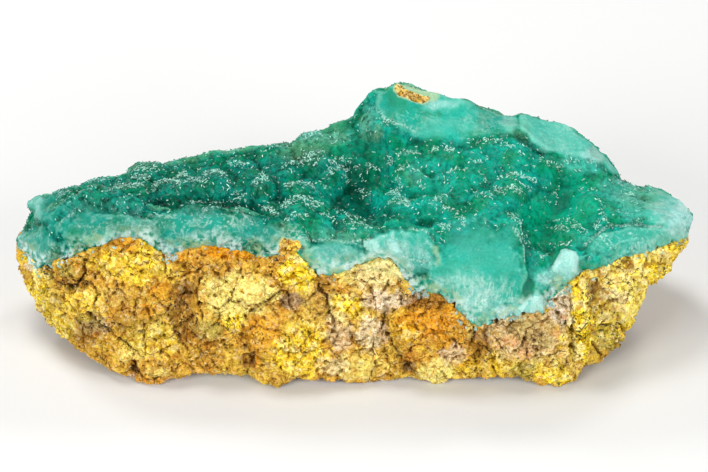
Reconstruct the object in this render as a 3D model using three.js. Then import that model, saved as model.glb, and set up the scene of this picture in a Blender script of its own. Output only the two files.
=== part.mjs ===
// Hemimorphite specimen: a blue-green botryoidal crust on a broken piece of ochre limonite.
// Millimetres, +Z up, the front face towards -Y. The origin is on the surface that the
// specimen rests on, under the middle of its box.
import * as THREE from "three";

// Lengthwise, the stone is drawn as sections across X, from the left end to the right end.
const LEFT_END = -45;
const RIGHT_END = 44.2;
const SECTIONS = 80;
const LEFT_TIP = 0.3; // how far the left end bulges past its last section
const CRUST_RIGHT_TIP = 1.2; // the crust runs out further than the limonite on the right
const LIMONITE_RIGHT_TIP = 0.2;

// How many steps each stretch of a section has.
const STEPS = { brokenFace: 6, top: 15, wall: 4, back: 4, contact: 4, face: 9, floor: 5, flank: 7 };

const CONTACT_GAP = 0.3; // between the crust's underside and the limonite under it

// The long edges of the stone, each from left to right as [x, y, z].

// Lower edge of the limonite's front face. It touches the ground at its four low points.
const FOOT_FRONT = [
  [-45, 9, 11.2], [-44.2, 8.5, 7.2], [-42.4, 7, 3.2], [-40.6, 5, 2.1], [-37.8, 2, 1.5],
  [-35.4, -0.5, 1.2], [-32.2, -3, 0.6], [-29, -4.5, 0.2], [-26.9, -5.5, 0], [-24.1, -5, 0.6],
  [-22, -4.5, 1.4], [-16.3, -4.5, 1.1], [-13.3, -5, 1.1], [-11.7, -5.5, 0.2], [-9.8, -6, 0],
  [-7, -5, 1.1], [-2.5, -5, 0.5], [1.6, -5, 0], [6.1, -4.5, 0.5], [10.8, -4.6, 0],
  [15.3, -4.5, 0.7], [20.3, -4.5, 1.1], [24, -5, 0], [28, -5.3, 0], [30.6, -2.5, 0.6],
  [33.7, 0, 0.8], [36.5, 2.5, 3], [38.5, 5, 6.1], [39.6, 6, 9.3], [41.6, 6.5, 9.8],
  [43, 7, 12.2], [44.2, 7, 14],
];
// Middle of the limonite's front face, which leans back above this line.
const FACE = [
  [-45, 7.8, 12.4], [-42, 3.5, 8], [-36, -1.5, 9.5], [-30, -3.2, 10], [-22, -4, 10],
  [-12, -4.2, 9.5], [-3, -4.5, 8.5], [6, -4.5, 8.5], [12, -5.5, 7.5], [16, -6, 5.5],
  [22, -6, 6], [28, -5, 7.5], [33, -2, 9], [38, 1.5, 11.5], [42, 5, 14], [44.2, 6.3, 15],
];
// Where crust and limonite meet on the front, with the tongue of crust that dips at x = 16.
const SEAM_FRONT = [
  [-45, 8, 13.5], [-43, 5, 14.2], [-42, 3, 13.3], [-39.5, 1.5, 15.4], [-37.4, 1, 16.9],
  [-33.8, 0.5, 18.7], [-29, 1, 20.1], [-26.7, 0.5, 19.1], [-25.1, 0, 18], [-22.8, 0, 18.4],
  [-19.3, 0, 19.3], [-15.6, 0, 18.7], [-12.2, 0, 17.6], [-10.1, 0, 17.6], [-8.9, 1, 19.1],
  [-7.3, 1, 18.6], [-6.6, 0, 17.2], [-5.4, -0.5, 15.8], [-3.3, -1, 15.2], [-1.2, -0.5, 16],
  [3.5, 0, 17.6], [5.4, -0.5, 17.4], [6.6, -2, 15], [9.7, -3.5, 14.3], [12.1, -4.5, 14.2],
  [14, -5.5, 12.5], [15.8, -6, 10.6], [17.6, -6, 10.8], [20, -5.5, 11.7], [22.6, -5, 12.1],
  [25.1, -4.5, 13.1], [27, -3.8, 15], [29.6, -3, 17], [32.1, -2, 17.2], [35.6, -1, 18.4],
  [38.3, 0.5, 17.7], [42.5, 4, 17.2], [44.2, 6, 16.3],
];
// Middle of the crust's broken front face, which swells into a smooth lobe round x = 17.
const BELLY = [
  [-45, 7.8, 14.6], [-42, 4.4, 16.4], [-38, 2.4, 19], [-30, 1.8, 21.8], [-20, 0.9, 21],
  [-12, 0.7, 19.8], [-5, -0.7, 18], [1, -0.8, 19], [6, -1.4, 19.4], [11, -3, 18.6],
  [14, -4.4, 17.8], [17.5, -4.9, 17.6], [21, -4.2, 17.6], [24, -3.9, 16], [29, -2, 18.1],
  [35, -0.2, 19.7], [40, 2.3, 18.7], [44.2, 6.2, 17.4],
];
// Top edge of that broken face.
const LIP = [
  [-45, 8, 15.6], [-42.5, 7, 18.5], [-40.4, 6.5, 20.6], [-38.2, 5.5, 21.5], [-36, 5, 22.4],
  [-29.6, 4.5, 23.4], [-25.4, 4, 22.9], [-15.1, 3.5, 22.6], [-12.1, 3, 21.7], [-9, 2.5, 20.6],
  [-4.4, 1.5, 20.2], [-1.2, 1.2, 20.1], [1.4, 1, 21.2], [6, 0.8, 22.7], [11.2, 0.2, 22.1],
  [13.2, 0, 21.2], [15.1, 0.3, 22.1], [20.3, 0.3, 22.6], [22.3, 0, 21.6], [23.6, -1, 19.2],
  [25.6, -1, 17.8], [29.6, 0.5, 19.1], [31.9, 1, 20.4], [35.2, 2, 21], [37.6, 2.5, 20],
  [42.7, 5, 19.4], [44.2, 7, 18.6],
];
// Middle of the crust's top, low in the valley at x = 2.
const CROWN = [
  [-45, 9, 15.4], [-43.3, 11, 17.5], [-39.1, 10, 19.6], [-33.7, 10, 21.1], [-28.4, 10.5, 21.8],
  [-15.1, 11, 22.3], [-7.2, 11.5, 22], [-3.2, 12, 21.3], [-0.5, 12.5, 20.6], [2.1, 12, 19.7],
  [4.1, 11.5, 20.8], [8.8, 10.5, 22.3], [14, 10, 22.7], [23.3, 9, 21.7], [27.3, 8.5, 20.5],
  [35.2, 8, 20.3], [39.2, 8, 20], [44.2, 9.5, 18.2],
];
// Foot of the wall that rises to the peak at the back.
const SHOULDER = [
  [-45, 9.4, 15.3], [-41.4, 13, 18], [-34, 13, 19.8], [-24.6, 14, 21.4], [-15.2, 14.5, 22.6],
  [-7.2, 15.5, 23.3], [-2.5, 16, 24.4], [1.9, 17, 26.9], [3.5, 17.5, 27.4], [6.1, 17, 26.5],
  [8.8, 16.5, 25], [12, 16.2, 24.6], [16.2, 16.5, 25], [22.2, 17.5, 25.7], [24, 17, 25],
  [27.6, 15.5, 22.8], [33, 15.5, 22], [35.4, 14.5, 19.5], [39.6, 13, 18.7], [44.2, 12, 17.2],
];
// Top edge at the back, the skyline of the stone from the front.
const RIM = [
  [-45, 9.6, 15.1], [-44.2, 13, 16.7], [-42.7, 15, 17], [-40.6, 15.5, 17], [-36.4, 15, 18.3],
  [-35.2, 15, 19.2], [-33.2, 15, 19.6], [-31.5, 15.5, 20.4], [-27.8, 16, 21.4],
  [-21.5, 16.6, 21.6], [-18.8, 17, 22.6], [-15.2, 17.5, 23], [-12.2, 17.8, 22.7],
  [-8.3, 18.5, 23.3], [-6.7, 19, 24], [-4.4, 19.5, 24], [-2.4, 20, 24.8], [-0.4, 20.8, 25.7],
  [1.7, 21.8, 28], [2.6, 22.3, 28.9], [4, 22.8, 29.3], [6.9, 23.2, 29.2], [11.6, 22.7, 28.2],
  [16.3, 22, 27.1], [17.1, 22, 26.2], [20.9, 21.6, 25.2], [22.7, 22, 25.3], [24.6, 22, 24.7],
  [28, 21.6, 24.2], [30.5, 20.3, 23.1], [34, 18.8, 20.5], [35.5, 18.2, 18.9],
  [36.6, 17.5, 17.7], [39.5, 17, 17.4], [42.6, 15.7, 16.7], [44.2, 14.5, 16.4],
];
// Back of the crust, between the rim and the limonite.
const NAPE = [
  [-45, 11.5, 13.4], [-42.5, 17, 14.3], [-36, 19.5, 14.4], [-28, 21.5, 16.6], [-18, 22.5, 17.7],
  [-8, 23.5, 18.9], [0, 25, 22], [5, 26.5, 25.5], [10, 26.5, 25], [17, 25.5, 23],
  [25, 25, 20.5], [31, 23, 18.5], [36, 20.5, 15.5], [42, 17.5, 14.8], [44.2, 15, 15],
];
// Where crust and limonite meet on the back, highest behind the peak.
const SEAM_BACK = [
  [-45, 12, 12.6], [-42.5, 17.5, 12], [-36, 21, 12], [-28, 24, 13], [-18, 25.5, 14],
  [-8, 26.5, 14.5], [0, 28, 16.5], [7, 29, 19.5], [12, 28.5, 19], [18, 27.5, 16.5],
  [26, 27, 14], [33, 24.5, 13], [38, 21, 12.5], [42, 17.5, 12.8], [44.2, 14.5, 13.8],
];
// Middle of the limonite's back.
const FLANK = [
  [-45, 12.6, 12.4], [-42, 17, 9.5], [-36, 22.5, 8.5], [-28, 26, 8], [-15, 28, 8.5],
  [0, 29, 9], [10, 29.5, 10], [20, 28.5, 8.5], [30, 26.5, 8], [37, 22, 8.5],
  [42, 17, 11], [44.2, 13.5, 12.9],
];
// Lower edge of the limonite's back.
const FOOT_BACK = [
  [-45, 12.5, 11.3], [-42, 14.5, 6.5], [-36, 18, 3], [-28, 21, 0.8], [-15, 23.5, 0.3],
  [0, 24, 0.2], [12, 24, 0.3], [22, 23, 0.4], [30, 21, 1.8], [37, 17, 4.5],
  [42, 13.5, 9.8], [44.2, 10.5, 13],
];

// The underside sags below the line between its two edges, and the ground cuts it off flat.
const FLOOR_SAG = 0.7;

// Botryoidal lumps that cover the crust's top, fused like bubbles.
const LUMP = { spacing: 5, radius: 3.6, height: 1.5 };
// Larger swellings of the top, as [x, y, radius, height].
const SWELLINGS = [
  [-34.5, 7, 5, 0.9], [-29, 8.5, 4, 1], [-23, 8.5, 4, 1.1], [-18.5, 9, 4, 1], [-13, 9, 4.5, 1.2],
  [-8.5, 11.5, 4.5, 1.1], [-4, 14, 4, 0.9], [-7, 5.5, 4, 1.1], [-1.5, 5, 3.5, 0.8],
  [6, 5, 4, 1], [8, 11.5, 4, 1], [13, 11.5, 4, 1], [11, 5, 4, 0.9], [17, 5, 6, 1.4],
  [21, 11.5, 4.5, 1.1], [31, 8, 4.5, 0.8], [38, 7, 4.5, 0.7],
];
// Grooves in the top, each a line of [x, y] points with its half-width and its depth.
const GROOVES = [
  { line: [[-29, 6], [-20, 5.6], [-13, 6]], reach: 1.5, depth: 1.1 },
  { line: [[-1.5, 17], [1.5, 12.5], [2.4, 8], [3, 4]], reach: 2.4, depth: 1.6 },
  { line: [[4, 8.6], [9, 7.8], [12, 8.6]], reach: 1.5, depth: 1 },
  { line: [[28, 12], [25.6, 6], [24.8, 1], [24.4, -3]], reach: 2.4, depth: 1.6 },
];

// Blocks of the broken limonite: ledges of different heights with cracks between them.
const BLOCK = { spacing: 6.2, ledge: 0.9, crack: 0.8, crackWidth: 1.3 };
const GRIT = { size: 2.6, height: 0.45 };
const FRACTURE = { size: 4.5, height: 0.35 }; // gentle waves on the crust's broken faces

// The relief dies out over this length at both ends, where the stone is thin.
const THIN_END = 5;
// The lumps on the top rise towards the sky rather than from the middle of the section.
const LUMPS_RISE_FROM = 14;

const clamp = (value, low, high) => Math.min(high, Math.max(low, value));
const mix = (a, b, t) => a + (b - a) * t;
const ease = (t) => t * t * (3 - 2 * t);

// The point where a long edge crosses the section at x, on a smooth curve through its points.
function crossing(edge, x) {
  let i = 0;
  while (i < edge.length - 2 && x > edge[i + 1][0]) i++;
  const a = edge[i];
  const b = edge[i + 1];
  const before = edge[Math.max(i - 1, 0)];
  const after = edge[Math.min(i + 2, edge.length - 1)];
  const span = b[0] - a[0];
  const t = clamp((x - a[0]) / span, 0, 1);
  const value = (axis) => {
    const leaving = ((b[axis] - before[axis]) / (b[0] - before[0])) * span;
    const arriving = ((after[axis] - a[axis]) / (after[0] - a[0])) * span;
    const bend = (leaving * (1 - t) - arriving * t) * t * (1 - t);
    return mix(a[axis], b[axis], ease(t)) + bend;
  };
  return new THREE.Vector3(x, value(1), value(2));
}

// A number from 0 to 1 that is always the same for the same cell.
function chance(i, j, k, salt) {
  let h = Math.imul(i, 374761393) ^ Math.imul(j, 668265263);
  h ^= Math.imul(k, 2147483647) ^ Math.imul(salt + 1, 1274126177);
  h = Math.imul(h ^ (h >>> 13), 1103515245);
  h = Math.imul(h ^ (h >>> 16), 2246822519);
  return ((h ^ (h >>> 14)) >>> 0) / 4294967296;
}

// Smooth noise from -1 to 1, with waves of about the given size.
function waves(p, size, salt) {
  const q = p.clone().divideScalar(size);
  const cell = q.clone().floor();
  const [u, v, w] = [ease(q.x - cell.x), ease(q.y - cell.y), ease(q.z - cell.z)];
  const corner = (i, j, k) => chance(cell.x + i, cell.y + j, cell.z + k, salt);
  const row = (j, k) => mix(corner(0, j, k), corner(1, j, k), u);
  const sheet = (k) => mix(row(0, k), row(1, k), v);
  return mix(sheet(0), sheet(1), w) * 2 - 1;
}

// The two nearest of a field of scattered seeds, and the nearest one's own number.
function nearestSeeds(p, spacing, salt) {
  const home = p.clone().divideScalar(spacing).floor();
  const seed = new THREE.Vector3();
  let [first, second, own] = [Infinity, Infinity, 0];
  for (let n = 0; n < 27; n++) {
    const i = home.x + (n % 3) - 1;
    const j = home.y + (Math.floor(n / 3) % 3) - 1;
    const k = home.z + Math.floor(n / 9) - 1;
    seed.set(i + chance(i, j, k, salt), j + chance(i, j, k, salt + 1), k + chance(i, j, k, salt + 2));
    const distance = seed.multiplyScalar(spacing).distanceTo(p);
    if (distance < first) {
      [second, first, own] = [first, distance, chance(i, j, k, salt + 3)];
    } else if (distance < second) {
      second = distance;
    }
  }
  return { first, second, own };
}

// How far a point's [x, y] lies from a line of points.
function distanceFrom(line, p) {
  const flat = new THREE.Vector3(p.x, p.y, 0);
  const stretches = line.slice(1).map((end, i) => {
    const piece = new THREE.Line3(new THREE.Vector3(...line[i], 0), new THREE.Vector3(...end, 0));
    return piece.closestPointToPoint(flat, true, new THREE.Vector3()).distanceTo(flat);
  });
  return Math.min(...stretches);
}

// Height of the botryoidal relief on the crust's top.
function botryoids(p) {
  const { first } = nearestSeeds(p, LUMP.spacing, 11);
  let height = LUMP.height * (Math.max(0, 1 - (first / LUMP.radius) ** 2) - 0.6);
  for (const [x, y, radius, rise] of SWELLINGS) {
    const away = Math.hypot(p.x - x, p.y - y) / radius;
    height += rise * ease(clamp(1 - away, 0, 1));
  }
  for (const { line, reach, depth } of GROOVES) {
    height -= depth * Math.exp(-((distanceFrom(line, p) / reach) ** 2));
  }
  return height;
}

// Height of the relief on a clean break through the crust.
const brokenCrust = (p) => FRACTURE.height * waves(p, FRACTURE.size, 31);

// Height of the relief on the limonite.
function brokenLimonite(p) {
  const { first, second, own } = nearestSeeds(p, BLOCK.spacing, 51);
  const ledge = BLOCK.ledge * (own * 2 - 1) * 0.5;
  const crack = BLOCK.crack * (ease(clamp((second - first) / BLOCK.crackWidth, 0, 1)) - 0.6);
  return ledge + crack + GRIT.height * waves(p, GRIT.size, 71);
}

// Evenly spaced points on a smooth curve through the given ones, without the last.
function stretch(through, steps) {
  const curve = new THREE.CatmullRomCurve3(through, false, "centripetal");
  return curve.getSpacedPoints(steps).slice(0, -1);
}

// From 0 at both ends of the stone to 1 where it has its full thickness.
const thickness = (x) => ease(clamp(Math.min(x - LEFT_END, RIGHT_END - x) / THIN_END, 0, 1));

// Moves a point outwards from the middle of its section.
function raise(p, middle, height) {
  const outward = new THREE.Vector3(0, p.y - middle.y, p.z - middle.z).normalize();
  return p.clone().addScaledVector(outward, height * thickness(p.x));
}

// Relief for one row of a stretch: the row next to a seam has half of it, and the seam none.
const calmer = (row, rows) => Math.min(1, row / 2, (rows - row) / 2);

// The line where crust and limonite touch in one section, front to back.
function contactLine(seamFront, seamBack) {
  const points = [];
  for (let i = 0; i <= STEPS.contact; i++) {
    const t = i / STEPS.contact;
    const p = seamFront.clone().lerp(seamBack, t);
    p.z += Math.sin(Math.PI * t) * waves(p, 9, 91);
    points.push(p);
  }
  return points;
}

// Both outlines of the section at x, each a ring that starts at the front seam.
function sectionAt(x) {
  const at = (edge) => crossing(edge, x);
  const [seamFront, seamBack, lip, rim] = [SEAM_FRONT, SEAM_BACK, LIP, RIM].map(at);
  const [footFront, footBack] = [FOOT_FRONT, FOOT_BACK].map(at);
  const middle = seamFront.clone().lerp(seamBack, 0.5);
  const contact = contactLine(seamFront, seamBack);

  // Lumps run over the rim on the left, and stop at the broken wall on the right.
  const wallIsBroken = ease(clamp((x + 1) / 4, 0, 1)) * ease(clamp((37 - x) / 4, 0, 1));
  const below = middle.clone().setZ(middle.z - LUMPS_RISE_FROM);
  const onBreak = (p) => raise(p, middle, brokenCrust(p));
  const onTop = (p) => raise(p, below, botryoids(p));
  const onWall = (p) => raise(p, middle, mix(0.3 * botryoids(p), brokenCrust(p), wallIsBroken));
  const onBack = (p, i) => raise(p, middle, calmer(i, STEPS.back) * brokenLimonite(p));
  const crust = [
    ...stretch([seamFront, at(BELLY), lip], STEPS.brokenFace).slice(1).map(onBreak),
    ...stretch([lip, at(CROWN), at(SHOULDER)], STEPS.top).map((p, i) => (i ? onTop(p) : onBreak(p))),
    ...stretch([at(SHOULDER), rim], STEPS.wall).map(onWall),
    rim,
    ...stretch([rim, at(NAPE), seamBack], STEPS.back).map(onBack).slice(1),
  ];

  const rough = (rows) => (p, i) => raise(p, middle, calmer(i, rows) * brokenLimonite(p));
  const floor = stretch([footFront, footBack], STEPS.floor);
  floor.forEach((p, i) => {
    p.z -= FLOOR_SAG * thickness(x) * Math.sin((Math.PI * i) / STEPS.floor);
  });
  const limonite = [
    ...stretch([seamFront, at(FACE), footFront], STEPS.face).map(rough(STEPS.face)).slice(1),
    ...floor.map(rough(STEPS.floor)),
    footBack,
    ...stretch([footBack, at(FLANK), seamBack], STEPS.flank).map(rough(STEPS.flank)).slice(1),
  ];
  for (const p of limonite) p.z = Math.max(0, p.z);

  const underside = contact.map((p) => p.clone().setZ(p.z + CONTACT_GAP / 2));
  const bed = contact.map((p) => p.clone().setZ(p.z - CONTACT_GAP / 2));
  return {
    crust: [underside[0], ...crust, ...underside.slice(1).reverse()],
    limonite: [...bed, ...limonite.reverse()],
  };
}

// Skins a row of rings that all have as many points, and closes both ends with a low point.
function skin(rings, leftTip, rightTip) {
  const count = rings[0].length;
  const points = rings.flat();
  const index = [];
  const face = (a, b, c) => index.push(a, b, c);
  for (let i = 0; i + 1 < rings.length; i++) {
    for (let j = 0; j < count; j++) {
      const next = (j + 1) % count;
      const [a, b] = [i * count + j, i * count + next];
      const [d, c] = [a + count, b + count];
      if (points[a].distanceTo(points[c]) < points[b].distanceTo(points[d])) {
        face(a, c, b);
        face(a, d, c);
      } else {
        face(a, d, b);
        face(b, d, c);
      }
    }
  }
  const ends = [[rings[0], 0, -leftTip], [rings.at(-1), (rings.length - 1) * count, rightTip]];
  for (const [ring, start, push] of ends) {
    const tip = new THREE.Vector3();
    for (const p of ring) tip.addScaledVector(p, 1 / count);
    tip.x += push;
    points.push(tip);
    for (let j = 0; j < count; j++) {
      const edge = [start + j, start + ((j + 1) % count)];
      if (push > 0) edge.reverse();
      face(edge[0], edge[1], points.length - 1);
    }
  }
  const geometry = new THREE.BufferGeometry().setFromPoints(points);
  return geometry.setIndex(index);
}

function piece(name, geometry, finish) {
  geometry.computeVertexNormals();
  const mesh = new THREE.Mesh(geometry, new THREE.MeshStandardMaterial({ ...finish, flatShading: true }));
  mesh.name = name;
  return mesh;
}

const sections = [];
for (let i = 0; i < SECTIONS; i++) {
  sections.push(sectionAt(mix(LEFT_END, RIGHT_END, i / (SECTIONS - 1))));
}
const crustRings = sections.map((section) => section.crust);
const limoniteRings = sections.map((section) => section.limonite);

const specimen = new THREE.Group();
specimen.add(
  piece("hemimorphite_crust", skin(crustRings, LEFT_TIP, CRUST_RIGHT_TIP), {
    color: 0x1f9c86, roughness: 0.3, metalness: 0,
  }),
  piece("limonite_matrix", skin(limoniteRings, LEFT_TIP, LIMONITE_RIGHT_TIP), {
    color: 0xc9a23a, roughness: 0.9, metalness: 0,
  }),
);

// The origin goes under the middle of the whole stone's box.
const box = new THREE.Box3().setFromObject(specimen);
const centre = box.getCenter(new THREE.Vector3());
specimen.position.set(-centre.x, -centre.y, -box.min.z);

export default specimen;
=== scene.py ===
import math
import random
from collections import defaultdict

import bmesh
import bpy
from mathutils import Color, Matrix, Vector, noise
from mathutils.bvhtree import BVHTree


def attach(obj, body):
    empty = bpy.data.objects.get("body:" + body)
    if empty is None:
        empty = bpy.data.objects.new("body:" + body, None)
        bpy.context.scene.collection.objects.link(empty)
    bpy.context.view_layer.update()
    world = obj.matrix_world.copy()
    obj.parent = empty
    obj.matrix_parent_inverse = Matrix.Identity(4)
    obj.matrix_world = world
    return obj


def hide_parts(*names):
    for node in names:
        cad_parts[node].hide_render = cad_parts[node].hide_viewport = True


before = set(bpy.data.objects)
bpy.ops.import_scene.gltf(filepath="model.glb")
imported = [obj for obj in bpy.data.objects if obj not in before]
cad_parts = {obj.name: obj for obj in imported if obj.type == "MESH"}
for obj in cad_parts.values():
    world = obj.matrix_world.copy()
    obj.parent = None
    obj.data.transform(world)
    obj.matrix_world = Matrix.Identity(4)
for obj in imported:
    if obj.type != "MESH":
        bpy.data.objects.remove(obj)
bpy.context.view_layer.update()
MM = 0.001

# The limonite. A broken piece of earthy, rust-stained ore that the crust grew on. Its breaks
# are rubble: blocks a few millimetres wide with cracks between them, down to crumbs and
# dust, in patches of yellow, orange, brown and grey.
MOST_TRIANGLES = 196000
NOISE_SEED = 5
# The width of a face of the mesh, and of the rubble's three grades.
LIMONITE_GRAIN = 0.27
BLOCKS = 4.2
CHUNKS = 1.9
CRUMBS = 0.62
# The front view: straight in front, 35 degrees up. What shows there is placed by millimetres
# right and up of the view's middle.
VIEW_MIDDLE = Vector((-0.05, -3.88, 15))
VIEW_DISTANCE = 450
VIEW_RISE = math.radians(35)
VIEW_BACK = Vector((0, -math.cos(VIEW_RISE), math.sin(VIEW_RISE)))
VIEW_UP = Vector((0, math.sin(VIEW_RISE), math.cos(VIEW_RISE)))
# Rounded swellings and hollows in the front view: right, up, reach right, reach up, height.
SWELLINGS = [
    (-9.1, -14.6, 6, 5.2, 1.2), (10.1, -11.9, 6, 4.8, 1.1), (-7.6, -4.8, 2.6, 2.6, 0.6),
    (3.6, -4.4, 3.1, 2.3, 0.7), (-0.9, -9.6, 2.2, 2.4, 0.4), (-19.6, -12.5, 2, 1.7, 0.5),
    (-38.3, -4.5, 1.6, 1.3, 0.6), (34.2, -13.6, 2, 1.8, 0.6), (26.9, -18.5, 2, 1.6, 0.5),
    (-31.2, -16.8, 2.1, 2, 0.6), (30.3, -10.5, 1.5, 6.5, 0.6), (-15.5, -7.8, 4.8, 3, 0.5),
    (-27.5, -5.5, 6, 4, 0.5), (38, -5, 5, 2.4, 0.4), (-25, -15.5, 2.2, 2.2, 0.5),
    (11.2, -18, 3, 1.7, 0.4), (22.7, -17.8, 1.9, 1.2, 0.4), (21, -14, 1.5, 1, 0.3),
]
HOLLOWS = [
    (-22.7, -9.9, 1.9, 4.6, 1.1), (-4.1, -7.6, 1.2, 3, 0.35), (-8.5, -8.7, 1.5, 1.3, 0.5),
    (-37.3, -7.2, 2.6, 1.1, 0.7), (-14.1, -16.5, 1.2, 1.1, 0.9), (7.2, -17.7, 1.3, 1.2, 0.7),
    (33.3, -8.6, 2.2, 2.5, 0.6), (-29.6, -17.9, 0.6, 1.4, 0.9), (0.6, -12, 1.7, 2.8, 0.3),
    (16.9, -14.5, 1.4, 2.4, 0.5), (-33.5, -12.4, 3, 1.6, 0.6), (28, -9, 1.4, 2.6, 0.3),
]
# Cracks in the front view: width, strength and the points they run through.
CRACKS = [
    (0.5, 0.6, [(4.3, -8.5), (4.1, -12), (5.1, -14.6), (6.4, -16.7)]),
    (0.35, 0.7, [(13.1, -8.2), (15.3, -10.6), (16.1, -12.2), (15.6, -15)]),
    (0.35, 0.45, [(-14.8, -12), (-13.8, -10.1), (-11.2, -9.2), (-8.9, -9.6)]),
    (0.35, 1, [(32.3, -13), (33.4, -12), (35.4, -11.9), (36.3, -13)]),
    (0.3, 0.9, [(31.6, -14.2), (32.8, -15.5), (33.5, -17)]),
    (0.35, 0.7, [(28.9, -8.5), (29.1, -12.5), (29.4, -15.2)]),
    (0.5, 1, [(-40.8, -3.4), (-39.9, -5.9), (-38.3, -7.1), (-36, -5.4), (-36.1, -3.4)]),
    (0.3, 0.7, [(-19.9, -11), (-20.6, -9.2), (-21, -7), (-20.2, -5)]),
    (0.3, 0.6, [(-15.3, -8.6), (-12.5, -9.4), (-10, -7.4), (-8.6, -7.6)]),
    (0.3, 0.8, [(-35.5, -10.4), (-33.4, -12.6), (-30.5, -14), (-28.7, -16)]),
    (0.3, 0.7, [(-4.8, -4.5), (-4.7, -7), (-3.2, -9.6), (-2.7, -12.5)]),
    (0.3, 0.6, [(-26.8, -8), (-24.6, -9.6), (-24, -12.8), (-21.8, -15.4)]),
    (0.3, 0.6, [(18.2, -11), (17.5, -13.5), (18.6, -16.4)]),
    (0.3, 0.6, [(39.5, -2), (38, -4.4), (39.4, -6.4)]),
]
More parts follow.
